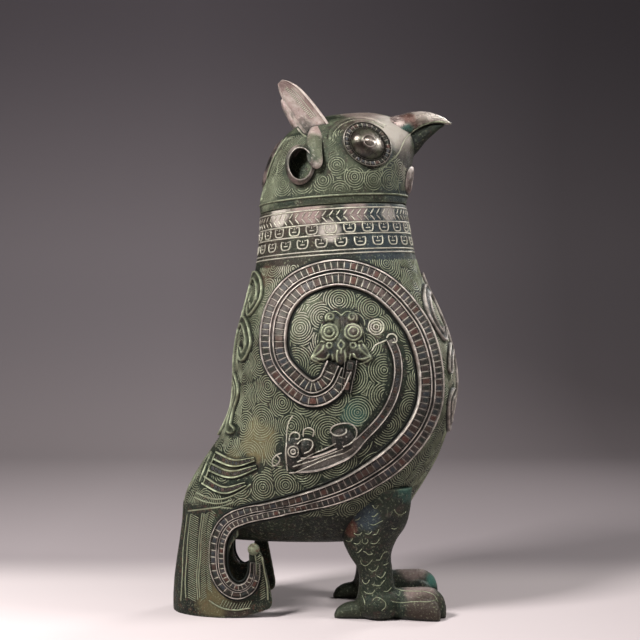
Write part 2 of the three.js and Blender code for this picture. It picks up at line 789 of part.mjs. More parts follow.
// Raised patches on the head: bottom and top are heights above the rim, and turn is half their angle.
const napePatch = { angle: Math.PI, turn: 0.36, bottom: 24, top: 62, thick: 2.4 };
const throatPatch = { angle: 0, turn: 0.42, bottom: 10, top: 32, thick: 2.8 };

function headPatch({ angle, turn, bottom, top, thick }) {
  const rings = spread(0, 1, 6).map((share) => {
    const height = lerp(bottom, top, share);
    const narrow = turn * (1 - 0.45 * (2 * share - 1) ** 4);
    const rise = thick * (1 - 0.5 * (2 * share - 1) ** 6);
    const row = (lift) => {
      return spread(-1, 1, 4).map((across) => headPoint(height, angle + narrow * across, lift(across)));
    };
    return [...row((across) => rise * (1 - 0.6 * across ** 4)), ...row(() => -reliefRoot).reverse()];
  });
  return lofted(rings).subtract(headSwollen);
}

// Assembly

const bronze = (name, colour, roughness) =>
  new THREE.MeshStandardMaterial({ name, color: new THREE.Color(...colour), roughness, metalness: 0.6 });
const greenPatina = bronze("green_patina", [0.16, 0.21, 0.15], 0.62);
const darkPatina = bronze("dark_patina", [0.1, 0.11, 0.09], 0.5);
const brownPatina = bronze("brown_patina", [0.2, 0.17, 0.13], 0.5);

function add(parent, name, geometry, material) {
  const mesh = new THREE.Mesh(geometry, material);
  mesh.name = name;
  parent.add(mesh);
}

function addSolid(parent, name, made, material) {
  add(parent, name, geometryOf(made), material);
}

function addPair(parent, name, made, material) {
  const geometry = geometryOf(made);
  add(parent, `right_${name}`, geometry, material);
  add(parent, `left_${name}`, mirrored(geometry), material);
}

const body = new THREE.Group();
addSolid(body, "belly_shell", bellyShell, greenPatina);
addSolid(body, "tail_support", tailPlate(), greenPatina);
addPair(body, "leg", leg(), darkPatina);
addPair(body, "wing_band", wingBand(), brownPatina);
addPair(body, "wing_mask", wingMask(), darkPatina);
addPair(body, "serpent_band", serpentBand(), brownPatina);
addPair(body, "rump_plumes", rumpPlumes(), greenPatina);
addSolid(body, "breast_mask", endRelief(1, breast), darkPatina);
addSolid(body, "back_relief", endRelief(-1, back), greenPatina);

const lid = new THREE.Group();
addSolid(lid, "head_shell", headShell(), greenPatina);
addSolid(lid, "upper_beak", beak(upperBeakRows), brownPatina);
addSolid(lid, "lower_beak", beak(lowerBeakRows).subtract(beak(upperBeakRows, seatGap)), darkPatina);
addPair(lid, "ear", joined([earHorn(), earLobe(), earCup()]).subtract(headSwollen), brownPatina);
addPair(lid, "eye", eye(), darkPatina);
addSolid(lid, "nape_scroll", headPatch(napePatch), brownPatina);
addSolid(lid, "throat_plaque", headPatch(throatPatch), brownPatina);

const vessel = new THREE.Group();
vessel.add(body, lid);
const box = new THREE.Box3().setFromObject(vessel, true);
vessel.position.x = -(box.min.x + box.max.x) / 2;

export default vessel;
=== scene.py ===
# Looks of a bird-shaped bronze wine vessel: patina, wear and the setting around it.
import json
import math

import bmesh
import bpy
import numpy as np
from mathutils import Matrix, Vector
from mathutils.bvhtree import BVHTree


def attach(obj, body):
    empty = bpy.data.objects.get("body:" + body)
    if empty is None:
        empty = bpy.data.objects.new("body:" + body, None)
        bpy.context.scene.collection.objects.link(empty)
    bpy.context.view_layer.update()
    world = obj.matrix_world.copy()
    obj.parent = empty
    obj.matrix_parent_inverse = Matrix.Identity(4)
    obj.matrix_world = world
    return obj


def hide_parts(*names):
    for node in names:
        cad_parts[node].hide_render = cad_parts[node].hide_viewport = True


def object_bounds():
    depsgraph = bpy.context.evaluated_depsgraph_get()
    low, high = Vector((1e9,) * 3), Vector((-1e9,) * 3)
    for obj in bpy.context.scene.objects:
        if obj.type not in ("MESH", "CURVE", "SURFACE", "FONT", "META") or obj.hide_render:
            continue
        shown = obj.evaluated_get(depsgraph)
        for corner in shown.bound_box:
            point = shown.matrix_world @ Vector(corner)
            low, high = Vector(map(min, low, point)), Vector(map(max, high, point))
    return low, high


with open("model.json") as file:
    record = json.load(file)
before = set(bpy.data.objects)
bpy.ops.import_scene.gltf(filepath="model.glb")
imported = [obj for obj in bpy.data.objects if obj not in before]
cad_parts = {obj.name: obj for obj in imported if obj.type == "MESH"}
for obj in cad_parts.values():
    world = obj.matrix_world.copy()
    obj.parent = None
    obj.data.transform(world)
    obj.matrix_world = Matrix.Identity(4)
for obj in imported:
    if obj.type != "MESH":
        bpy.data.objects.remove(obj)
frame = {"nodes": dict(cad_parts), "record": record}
cadBox = [[float(v) for v in corner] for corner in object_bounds()]
scene = bpy.context.scene
scene.view_settings.view_transform = "Standard"
print("frame loaded")

# The camera stands level, well in front of the bird's right side.
camera = {
    "distance": 1.073,
    "height": 0.242,
    "lens": 70.9,
    "sensor": 36.0,
    "aimX": 0.0038,
    "shiftY": 0.0047,
    "clipEnd": 20,
}

studio = {
    # Painted shade on the floor and backdrop, by how far back and up they lie, in metres: pale in front and
    # dark high up.
    "backdrop": [
        (0.0, (0.66, 0.575, 0.57, 1)), (0.09, (0.64, 0.56, 0.555, 1)), (0.24, (0.31, 0.265, 0.27, 1)),
        (1.2, (0.31, 0.265, 0.27, 1)), (2.1, (0.21, 0.182, 0.192, 1)), (2.8, (0.095, 0.08, 0.09, 1)),
    ],
    "backdropReach": 3.0,
    # Painted shade: the right of the setting is darkened, from one place across it to another.
    "dimmed": (0.42, 0.41, 0.415, 1),
    "dimAcross": (-0.3, 0.55),
    "floor": {"front": -2.5, "back": 1.2, "half": 3.5, "bend": 0.6, "top": 3.0, "roughness": 0.85},
    "worldColour": (0.8, 0.78, 0.79, 1),
    "worldStrength": 0.14,
}
lamps = {
    # place, size and power
    "keyLamp": [(-0.72, -0.7, 1.15), 0.3, 33],
    "fillLamp": [(0.8, -1.2, 0.35), 0.9, 2.5],
    "rimLamp": [(0.95, -0.3, 0.95), 0.3, 11],
    "backLamp": [(0.7, 0.9, 0.9), 0.4, 7],
}


def makeCamera(spec):
    data = bpy.data.cameras.new("camera")
    data.lens = spec["lens"]
    data.sensor_width = spec["sensor"]
    data.shift_y = spec["shiftY"]
    data.clip_end = spec["clipEnd"]
    view = bpy.data.objects.new("camera", data)
    scene.collection.objects.link(view)
    view.location = (spec["aimX"], -spec["distance"], spec["height"])
    view.rotation_euler = (math.pi / 2, 0, 0)
    scene.camera = view


makeCamera(camera)


def areaLamp(name, place, size, power, aim=(0, 0, 0.26)):
    data = bpy.data.lights.new(name, "AREA")
    data.size = size
    data.energy = power
    lamp = bpy.data.objects.new(name, data)
    scene.collection.objects.link(lamp)
    lamp.location = place
    lamp.rotation_euler = (Vector(aim) - Vector(place)).to_track_quat("-Z", "Y").to_euler()


for name, spec in lamps.items():
    areaLamp(name, *spec)

world = bpy.data.worlds.new("studio")
world.use_nodes = True
world.node_tree.nodes["Background"].inputs["Color"].default_value = studio["worldColour"]
world.node_tree.nodes["Background"].inputs["Strength"].default_value = studio["worldStrength"]
scene.world = world


def addNode(tree, kind, values=None, **settings):
    # A node with its settings, and each input given either a socket to follow or a plain value.
    node = tree.nodes.new(kind)
    for name, value in settings.items():
        setattr(node, name, value)
    for name, value in (values or {}).items():
        if isinstance(value, bpy.types.NodeSocket):
            tree.links.new(value, node.inputs[name])
        else:
            node.inputs[name].default_value = value
    return node


def calculate(tree, operation, a, b=0.0, clamp=False):
    return addNode(tree, "ShaderNodeMath", {0: a, 1: b}, operation=operation, use_clamp=clamp).outputs[0]


def remap(tree, value, low, high, to=(0.0, 1.0)):
    values = {"Value": value, "From Min": low, "From Max": high, "To Min": to[0], "To Max": to[1]}
    return addNode(tree, "ShaderNodeMapRange", values, interpolation_type="SMOOTHSTEP").outputs[0]


def mixColour(tree, share, a, b, blend="MIX"):
    made = addNode(tree, "ShaderNodeMix", {0: share, 6: a, 7: b}, data_type="RGBA", blend_type=blend)
    return made.outputs[2]


def toneRamp(tree, value, stops):
    # A ramp through stops of [place, colour].
    ramp = addNode(tree, "ShaderNodeValToRGB", {0: value})
    for place, _ in stops[1:-1]:
        ramp.color_ramp.elements.new(place)
    for element, (place, colour) in zip(ramp.color_ramp.elements, stops):
        element.position = place
        element.color = colour
    return ramp


def makePaper():
    # Painted shade: its tone follows how far back and up it lies, and it darkens towards the right.
    material = bpy.data.materials.new("studioPaper")
    material.use_nodes = True
    tree = material.node_tree
    shader = tree.nodes["Principled BSDF"]
    where = addNode(tree, "ShaderNodeTexCoord").outputs["Object"]
    parts = addNode(tree, "ShaderNodeSeparateXYZ", {0: where}).outputs
    reach = studio["backdropReach"]
    share = calculate(tree, "DIVIDE", calculate(tree, "ADD", parts[1], parts[2]), reach)
    ramp = toneRamp(tree, share, [(place / reach, colour) for place, colour in studio["backdrop"]])
    ramp.color_ramp.interpolation = "EASE"
    low, high = studio["dimAcross"]
    dim = addNode(tree, "ShaderNodeMapRange", {"Value": parts[0], "From Min": low, "From Max": high})
    colour = mixColour(tree, dim.outputs[0], ramp.outputs[0], studio["dimmed"], "MULTIPLY")
    tree.links.new(colour, shader.inputs["Base Color"])
    shader.inputs["Roughness"].default_value = studio["floor"]["roughness"]
    return material


def makeFloor(spec, steps=12):
    # A floor that curves up into a backdrop well behind the vessel.
    profile = [(spec["front"], 0.0), (spec["back"], 0.0)]
    for step in range(1, steps + 1):
        turn = math.pi / 2 * step / steps
        profile.append((spec["back"] + spec["bend"] * math.sin(turn), spec["bend"] * (1 - math.cos(turn))))
    profile.append((spec["back"] + spec["bend"], spec["top"]))
    verts = [(side * spec["half"], y, z) for y, z in profile for side in (-1, 1)]
    faces = [(2 * row, 2 * row + 1, 2 * row + 3, 2 * row + 2) for row in range(len(profile) - 1)]
    mesh = bpy.data.meshes.new("floor")
    mesh.from_pydata(verts, [], faces)
    mesh.polygons.foreach_set("use_smooth", [True] * len(faces))
    mesh.materials.append(makePaper())
    floor = bpy.data.objects.new("floor", mesh)
    scene.collection.objects.link(floor)


makeFloor(studio["floor"])
print("camera, lamps and floor placed")

# Shapes are worked out in millimetres about the bird's own upright axis. The tail's back lies on the
# frame's lowest corner, so the axis is found from there.
mm = 0.001
rimHeight = 338
seatGap = 0.3
tailBack = -140.5
axisX = cadBox[0][0] / mm - tailBack


def smoothstep(value, low, high):
    t = np.clip((np.asarray(value, float) - low) / (high - low), 0, 1)
    return t * t * (3 - 2 * t)


def through(rows):
    # Smooth curve through rows of [place, value, value, ...], read at any places.
    table = np.array(rows, float)
    places = table[:, 0]
    last = len(table) - 1
    before = np.maximum(np.arange(last + 1) - 1, 0)
    after = np.minimum(np.arange(last + 1) + 1, last)
    slopes = (table[after, 1:] - table[before, 1:]) / (places[after] - places[before])[:, None]

    def at(place):
        place = np.asarray(place, float)
        i = np.clip(np.searchsorted(places, place, side="right") - 1, 0, last - 1)
        span = places[i + 1] - places[i]
        s = np.clip((place - places[i]) / span, 0, 1)[..., None]
        span = span[..., None]
        values = (
            table[i, 1:] * (2 * s**3 - 3 * s**2 + 1)
            + slopes[i] * span * (s**3 - 2 * s**2 + s)
            + table[i + 1, 1:] * (3 * s**2 - 2 * s**3)
            + slopes[i + 1] * span * (s**3 - s**2)
        )
        return np.moveaxis(values, -1, 0)

    return at


belly = {
    "sections": [  # level, back, front, half width
        [59, -92, 24, 20], [62, -108, 36, 34], [69, -121, 46, 45], [80, -129.5, 54.5, 53.5],
        [94, -130.5, 63, 62], [110, -124, 73, 69], [128, -113, 83, 75], [148, -100, 91, 80.5],
        [170, -90.5, 96.5, 84.5], [192, -88, 99, 86.5], [212, -87.5, 97, 86], [232, -85, 91.5, 83],
        [252, -80, 83, 77.5], [272, -75, 73, 70.5], [292, -70.5, 66, 64], [314, -67.5, 61.5, 59.5],
        [rimHeight, -66.5, 57.5, 57],
    ],
    "rise": 0.062,  # how much the rim climbs for each millimetre forward
    "egg": 0.22,  # how much narrower the back of a low section is than its front
    "wall": 5,
}
head = {
    "sections": [  # height above the rim, back, front, half width
        [0, -66.5, 57.5, 57], [10, -66.5, 59, 58], [20, -64.5, 60.5, 58], [31, -62, 62, 57],
        [42, -58.5, 64, 54], [51, -55, 65, 50], [60, -49.5, 62, 44], [69, -41, 55.5, 35],
        [76, -28, 45, 25], [80, -9, 31, 12], [80.8, 3, 20, 4],
    ],
    "wall": 4.5,
    "hollowTop": 73,
    "tongueDepth": 14,
    "tongueWall": 4,
    "tongueInset": 5.6,
    "tongueRoot": 7,
}
bellyAt = through(belly["sections"])
headAt = through(head["sections"])
bellyFloor = belly["sections"][0][0]


def riseAt(level):
    return belly["rise"] * smoothstep(level, 200, 300)


def eggAt(level):
    return belly["egg"] * (1 - smoothstep(level, 110, 260))


def sectionPoints(values, egg, level, rise, angle, grow):
    back, front, half = values
    x = (back + front) / 2 + ((front - back) / 2 + grow) * np.cos(angle)
    y = (half + grow) * np.sin(angle) * (1 + egg * np.cos(angle))
    return np.stack(np.broadcast_arrays(x, y, level + rise * x), -1)


def bellyPoints(level, angle, grow=0.0):
    level = np.asarray(level, float)
    return sectionPoints(bellyAt(level), eggAt(level), level, riseAt(level), angle, grow)


def headPoints(height, angle, grow=0.0):
    height = np.asarray(height, float)
    return sectionPoints(headAt(height), 0, rimHeight + height, belly["rise"], angle, grow)


def bellyHalf(x, z):
    # Half width of the belly at x and height z, or 0 outside it.
    x, z = np.broadcast_arrays(np.asarray(x, float), np.asarray(z, float))
    level = z
    for _ in range(6):
        level = z - riseAt(level) * x
    back, front, half = bellyAt(level)
    c = np.clip((x - (back + front) / 2) / ((front - back) / 2), -1, 1)
    return half * np.sqrt(1 - c * c) * (1 + eggAt(level) * c)


def bellyEnd(y, z, side):
    # Where the belly's surface lies along X: side 1 is its front and -1 its back.
    y, z = np.broadcast_arrays(np.asarray(y, float), np.asarray(z, float))
    level = z
    for _ in range(5):
        back, front, half = bellyAt(level)
        low = np.zeros_like(z)
        high = np.full_like(z, math.pi / 2)
        for _ in range(24):
            angle = (low + high) / 2
            narrow = half * np.sin(angle) * (1 + eggAt(level) * side * np.cos(angle)) < np.abs(y)
            low = np.where(narrow, angle, low)
            high = np.where(narrow, high, angle)
        x = (back + front) / 2 + side * ((front - back) / 2) * np.cos(low)
        level = z - riseAt(level) * x
    return x


tail = {
    "top": 92, "back": tailBack, "front": -54, "turn": -84, "half": 40, "proud": 1.2, "wall": 6,
}


def tailHalf(x, z):
    # Half width of the tail's outer face at x and height z.
    x, z = np.broadcast_arrays(np.asarray(x, float), np.asarray(z, float))
    up = smoothstep(z, 10, tail["top"])
    rumpBack = float(bellyAt(tail["top"])[0])
    back = tail["back"] + (rumpBack - tail["proud"] - tail["back"]) * up
    bend = np.minimum((x - tail["turn"]) / (tail["turn"] - back), 0)
    foot = tail["half"] * np.sqrt(np.maximum(1 - bend * bend, 0))
    rump = bellyHalf(np.maximum(x, rumpBack + 0.5), tail["top"]) + tail["proud"]
    return np.where(x > back, foot + (rump - foot) * up, 0)


def wallHalf(x, z):
    # Half width of the bird's side, on the belly or the tail.
    onTail = np.where(np.asarray(z) < tail["top"], tailHalf(x, np.clip(z, 0, tail["top"])), 0)
    return np.maximum(bellyHalf(x, z), onTail)


def onSide(path, lift):
    # Points over the right side: path holds [x, z], and lift stands them off the wall.
    path = np.asarray(path, float)
    x, z = path[..., 0], path[..., 1]
    probe = 0.6
    tall = 3.5  # evens out the step between belly and tail
    slopeX = (wallHalf(x + probe, z) - wallHalf(x - probe, z)) / (2 * probe)
    slopeZ = (wallHalf(x, z + tall) - wallHalf(x, z - tall)) / (2 * tall)
    slopeX = np.clip(slopeX, -2, 2)
    slopeZ = np.clip(slopeZ, -2, 2)
    normal = np.stack([-slopeX, -np.ones_like(slopeX), -slopeZ], -1)
    normal /= np.linalg.norm(normal, axis=-1, keepdims=True)
    foot = np.stack([x, -wallHalf(x, z), z], -1)
    return foot + normal * np.asarray(lift, float)[..., None]


def onEnd(path, lift, side):
    # Points over the breast (side 1) or the back (side -1): path holds [y, z].
    path = np.asarray(path, float)
    y, z = path[..., 0], path[..., 1]
    probe = 0.6
    slopeY = np.clip((bellyEnd(y + probe, z, side) - bellyEnd(y - probe, z, side)) / (2 * probe), -2, 2)
    slopeZ = np.clip((bellyEnd(y, z + probe, side) - bellyEnd(y, z - probe, side)) / (2 * probe), -2, 2)
    normal = np.stack([np.ones_like(slopeY), -slopeY, -slopeZ], -1) * side
    normal /= np.linalg.norm(normal, axis=-1, keepdims=True)
    foot = np.stack([bellyEnd(y, z, side), y, z], -1)
    return foot + normal * np.asarray(lift, float)[..., None]


def runAlong(points):
    # How far along a line each of its points lies.
    return np.concatenate([[0], np.cumsum(np.linalg.norm(np.diff(points, axis=0), axis=1))])


def sideways(line):
    # The way to the left of a flat line at each of its points.
    along = np.gradient(line, axis=0)
    along /= np.linalg.norm(along, axis=1, keepdims=True)
    return np.stack([-along[:, 1], along[:, 0]], -1)


def fullTurn(count):
    return np.arange(count) * 2 * math.pi / count


def curveThrough(points, step):
    # A smooth curve through given points, read again at an even step.
    points = np.array(points, float)
    ends = np.vstack([2 * points[0] - points[1], points, 2 * points[-1] - points[-2]])
    dense = []
    for i in range(1, len(ends) - 2):
        a, b, c, d = ends[i - 1 : i + 3]
        gaps = [max(np.linalg.norm(q - p), 1e-6) ** 0.5 for p, q in ((a, b), (b, c), (c, d))]
        slopeB = (b - a) / gaps[0] - (c - a) / (gaps[0] + gaps[1]) + (c - b) / gaps[1]
        slopeC = (c - b) / gaps[1] - (d - b) / (gaps[1] + gaps[2]) + (d - c) / gaps[2]
        s = np.linspace(0, 1, 24, endpoint=False)[:, None]
        dense.append(
            b * (2 * s**3 - 3 * s**2 + 1)
            + slopeB * gaps[1] * (s**3 - 2 * s**2 + s)
            + c * (3 * s**2 - 2 * s**3)
            + slopeC * gaps[1] * (s**3 - s**2)
        )
    dense = np.vstack([*dense, points[-1:]])
    run = runAlong(dense)
    count = max(int(round(run[-1] / step)), 2)
    places = np.linspace(0, run[-1], count + 1)
    return np.stack([np.interp(places, run, dense[:, k]) for k in range(dense.shape[1])], -1)


def toFrame(points):
    out = np.array(points, float).reshape(-1, 3)
    out[:, 0] += axisX
    return out * mm


def makeObject(name, verts, faces, material, sharp=40):
    # Verts are own millimetres, and the faces of a closed shape are turned outwards.
    mesh = bpy.data.meshes.new(name)
    mesh.from_pydata(toFrame(verts), [], faces)
    work = bmesh.new()
    work.from_mesh(mesh)
    if work.calc_volume(signed=True) < 0:
        bmesh.ops.reverse_faces(work, faces=work.faces)
    work.to_mesh(mesh)
    work.free()
    return linkMesh(name, mesh, material, sharp)


def linkMesh(name, mesh, material, sharp=40):
    mesh.name = name
    mesh.polygons.foreach_set("use_smooth", [True] * len(mesh.polygons))
    mesh.set_sharp_from_angle(angle=math.radians(sharp))
    if material is not None:
        mesh.materials.clear()
        mesh.materials.append(material)
    piece = bpy.data.objects.new(name, mesh)
    scene.collection.objects.link(piece)
    return piece


def loftFaces(rows, columns, closed=True, first=0):
    wrap = columns if closed else columns - 1
    i, j = np.meshgrid(np.arange(rows - 1), np.arange(wrap), indexing="ij")
    k = (j + 1) % columns
    corners = [i * columns + j, i * columns + k, (i + 1) * columns + k, (i + 1) * columns + j]
    return (np.stack(corners, -1).reshape(-1, 4) + first).tolist()


def loft(rings):
    # Closed surface through rings of points, with a fan at each end.
    rings = np.asarray(rings, float)
    rows, columns = rings.shape[:2]
    verts = np.vstack([rings.reshape(-1, 3), rings[0].mean(0), rings[-1].mean(0)])
    faces = loftFaces(rows, columns)
    low, high = rows * columns, rows * columns + 1
    top = (rows - 1) * columns
    for j in range(columns):
        k = (j + 1) % columns
        faces.append([low, k, j])
        faces.append([high, top + j, top + k])
    return verts, faces


def merged(parts):
    verts = []
    faces = []
    for partVerts, partFaces in parts:
        first = sum(len(v) for v in verts)
        verts.append(np.asarray(partVerts, float))
        faces += [[corner + first for corner in face] for face in partFaces]
    return np.vstack(verts), faces


def finishPiece(piece, body, slotName, *nodes):
    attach(piece, body)
    if nodes:
        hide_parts(*nodes)
    return piece


def evaluatedMesh(piece):
    graph = bpy.context.evaluated_depsgraph_get()
    graph.update()
    return bpy.data.meshes.new_from_object(piece.evaluated_get(graph))


def remeshed(name, parts, material, voxel, smoothing=3):
    # Closed shapes that run into each other, made one skin.
    verts, faces = merged(parts)
    rough = makeObject(name + "Rough", verts, faces, None)
    remesh = rough.modifiers.new("skin", "REMESH")
    remesh.mode = "VOXEL"
    remesh.voxel_size = voxel * mm
    soften = rough.modifiers.new("soften", "SMOOTH")
    soften.factor = 0.5
    soften.iterations = smoothing
    mesh = evaluatedMesh(rough)
    bpy.data.objects.remove(rough)
    return linkMesh(name, mesh, material, 60)


def moveVerts(piece, change):
    # Hands the mesh's points to change as own millimetres and takes them back.
    mesh = piece.data
    flat = np.zeros(len(mesh.vertices) * 3)
    mesh.vertices.foreach_get("co", flat)
    points = flat.reshape(-1, 3) / mm
    points[:, 0] -= axisX
    mesh.vertices.foreach_set("co", toFrame(change(points)).ravel())
    mesh.update()


def newTree(name, inputs, outputs, kind="ShaderNodeTree"):
    # inputs holds [label, kind of socket, value], or no value, and outputs [label, kind of socket].
    tree = bpy.data.node_groups.new(name, kind)
    for label, socketKind, *value in inputs:
        socket = tree.interface.new_socket(label, in_out="INPUT", socket_type="NodeSocket" + socketKind)
        if value:
            socket.default_value = value[0]
    for label, socketKind in outputs:
        tree.interface.new_socket(label, in_out="OUTPUT", socket_type="NodeSocket" + socketKind)
    return tree, tree.nodes.new("NodeGroupInput").outputs, tree.nodes.new("NodeGroupOutput").inputs


def makeCloudGroup():
    # Patches of patina: broad clouds, smaller blotches, and the grain of the casting.
    group, enter, leave = newTree(
        "patinaClouds",
        [("Vector", "Vector", (0, 0, 0)), ("Scale", "Float", 22.0)],
        [(label, "Float") for label in ("Broad", "Blotch", "Fleck", "Speck", "Grain")],
    )
    link = group.links.new

    def noise(times, detail, rough, warp=0.0):
        scale = calculate(group, "MULTIPLY", enter["Scale"], times)
        values = {"Vector": enter["Vector"], "Scale": scale, "Detail": detail, "Roughness": rough}
        values["Distortion"] = warp
        return addNode(group, "ShaderNodeTexNoise", values).outputs["Fac"]

    link(remap(group, noise(1.0, 5, 0.6, 0.6), 0.36, 0.64), leave["Broad"])
    link(remap(group, noise(4.3, 5, 0.62, 0.3), 0.4, 0.66), leave["Blotch"])
    link(remap(group, noise(8.7, 5, 0.68, 0.8), 0.53, 0.62), leave["Fleck"])
    link(remap(group, noise(24.0, 4, 0.6), 0.55, 0.68), leave["Speck"])
    link(noise(42.0, 5, 0.7), leave["Grain"])
    return group


def makeStainAndPaintedLightGroup():
    # A ragged spot about a place, the same on both sides of the bird.
    group, enter, leave = newTree(
        "stainSpot",
        [("Vector", "Vector", (0, 0, 0)), ("Centre", "Vector", (0, 0, 0)), ("Radius", "Float", 0.02)],
        [("Mask", "Float")],
    )
    parts = addNode(group, "ShaderNodeSeparateXYZ", {0: enter["Vector"]}).outputs
    side = calculate(group, "ABSOLUTE", parts[1])
    folded = addNode(group, "ShaderNodeCombineXYZ", {0: parts[0], 1: side, 2: parts[2]}).outputs[0]
    distance = addNode(group, "ShaderNodeVectorMath", {0: folded, 1: enter["Centre"]}, operation="DISTANCE")
    values = {"Vector": folded, "Scale": 90.0, "Detail": 5.0, "Roughness": 0.65}
    noise = addNode(group, "ShaderNodeTexNoise", values)
    share = calculate(group, "DIVIDE", distance.outputs["Value"], enter["Radius"])
    ragged = calculate(group, "ADD", share, calculate(group, "MULTIPLY", noise.outputs["Fac"], 1.1))
    group.links.new(remap(group, ragged, 1.75, 1.2), leave["Mask"])
    return group


def makeCreviceGroup():
    # Dirt and painted shade in the hollows of the relief, found by ambient occlusion, and where handling has
    # bared its crests.
    group, enter, leave = newTree(
        "reliefWear", [("Reach", "Float", 0.0028)], [("Hollow", "Float"), ("Crest", "Float")]
    )
    shade = addNode(group, "ShaderNodeAmbientOcclusion", {"Distance": enter["Reach"]}, samples=6)
    group.links.new(remap(group, shade.outputs["AO"], 0.98, 0.55), leave["Hollow"])
    shape = addNode(group, "ShaderNodeNewGeometry")
    group.links.new(remap(group, shape.outputs["Pointiness"], 0.51, 0.6), leave["Crest"])
    return group


cloudGroup = makeCloudGroup()
stainAndPaintedLightGroup = makeStainAndPaintedLightGroup()
creviceGroup = makeCreviceGroup()


def placeOf(x, y, z):
    return ((x + axisX) * mm, abs(y) * mm, z * mm)


# Bronze and what time has made of it.
tones = {
    "soot": (0.007, 0.008, 0.0065, 1),
    "deepGreen": (0.009, 0.016, 0.009, 1),
    "olive": (0.029, 0.034, 0.019, 1),
    "greyOlive": (0.1, 0.113, 0.068, 1),
    "paleGreen": (0.44, 0.47, 0.31, 1),
    "ochre": (0.22, 0.18, 0.085, 1),
    "umber": (0.042, 0.028, 0.021, 1),
    "rust": (0.10, 0.036, 0.024, 1),
    "rose": (0.31, 0.22, 0.2, 1),
    "silver": (0.66, 0.58, 0.51, 1),
    "turquoise": (0.045, 0.15, 0.12, 1),
    "slate": (0.026, 0.038, 0.048, 1),
}

cellTones = [
    (0.0, "soot"), (0.3, "deepGreen"), (0.55, "slate"), (0.72, "umber"), (0.92, "rust"), (1.0, "olive"),
]


def bronzeMaterial(name, low, mid, high, line, stainsAndPaintedLight=(), rough=0.46, metal=0.6, grimeAndShade=0.75,
                   scale=22.0, speck=0.24, cells=0.0, grain=0.7, accent="umber",
                   flecks=0.65, shine=0.5):
    # low, mid and high are the clouds' tones, and line is the colour of worn ridges.
    material = bpy.data.materials.new(name)
    material.use_nodes = True
    tree = material.node_tree
    shader = tree.nodes["Principled BSDF"]
    place = addNode(tree, "ShaderNodeTexCoord").outputs["Object"]
    cloud = addNode(tree, "ShaderNodeGroup", node_tree=cloudGroup)
    tree.links.new(place, cloud.inputs["Vector"])
    cloud.inputs["Scale"].default_value = scale
    shadeAndWear = addNode(tree, "ShaderNodeGroup", node_tree=creviceGroup)
    colour = mixColour(tree, cloud.outputs["Broad"], tones[low], tones[mid])
    share = calculate(tree, "MULTIPLY", cloud.outputs["Blotch"], 0.55)
    colour = mixColour(tree, share, colour, tones[high])
    share = calculate(tree, "MULTIPLY", cloud.outputs["Fleck"], flecks)
    colour = mixColour(tree, share, colour, tones[accent])
    # Spots of stain, of painted shade and of painted highlight, as each finish lists them.
    for where, radius, hue, strength in stainsAndPaintedLight:
        spot = addNode(tree, "ShaderNodeGroup", node_tree=stainAndPaintedLightGroup)
        tree.links.new(place, spot.inputs["Vector"])
        spot.inputs["Centre"].default_value = placeOf(*where)
        spot.inputs["Radius"].default_value = radius * mm
        share = calculate(tree, "MULTIPLY", spot.outputs["Mask"], strength)
        colour = mixColour(tree, share, colour, tones[hue])
    share = calculate(tree, "MULTIPLY", cloud.outputs["Speck"], speck)
    colour = mixColour(tree, share, colour, tones[line])
    if cells:
        # Each cushion has its own tone.
        shade = addNode(tree, "ShaderNodeAttribute", attribute_name="tone").outputs["Fac"]
        ramp = toneRamp(tree, shade, [(place, tones[hue]) for place, hue in cellTones])
        colour = mixColour(tree, cells, colour, ramp.outputs[0])
    fill = addNode(tree, "ShaderNodeAttribute", attribute_name="fill").outputs["Fac"]
    crest = calculate(tree, "MAXIMUM", fill, calculate(tree, "MULTIPLY", shadeAndWear.outputs["Crest"], 0.6))
    worn = calculate(tree, "MULTIPLY", crest, remap(tree, cloud.outputs["Blotch"], -0.2, 0.9, (0.95, 0.35)))
    colour = mixColour(tree, worn, colour, tones[line])
    # Hollows are darkened towards soot: partly dirt, partly painted shade.
    dirtAndShade = calculate(tree, "MULTIPLY", shadeAndWear.outputs["Hollow"], grimeAndShade)
    colour = mixColour(tree, dirtAndShade, colour, tones["soot"])
    flat = calculate(tree, "MULTIPLY", cloud.outputs["Fleck"], 0.25)
    pits = calculate(tree, "SUBTRACT", cloud.outputs["Grain"], flat)
    bump = addNode(tree, "ShaderNodeBump", {"Strength": grain, "Distance": 0.0011, "Height": pits})
    tree.links.new(colour, shader.inputs["Base Color"])
    tree.links.new(bump.outputs["Normal"], shader.inputs["Normal"])
    matt = remap(tree, cloud.outputs["Blotch"], 0, 1, (rough - 0.08, rough + 0.14))
    tree.links.new(matt, shader.inputs["Roughness"])
    shader.inputs["Metallic"].default_value = metal
    shader.inputs["Specular IOR Level"].default_value = shine
    return material


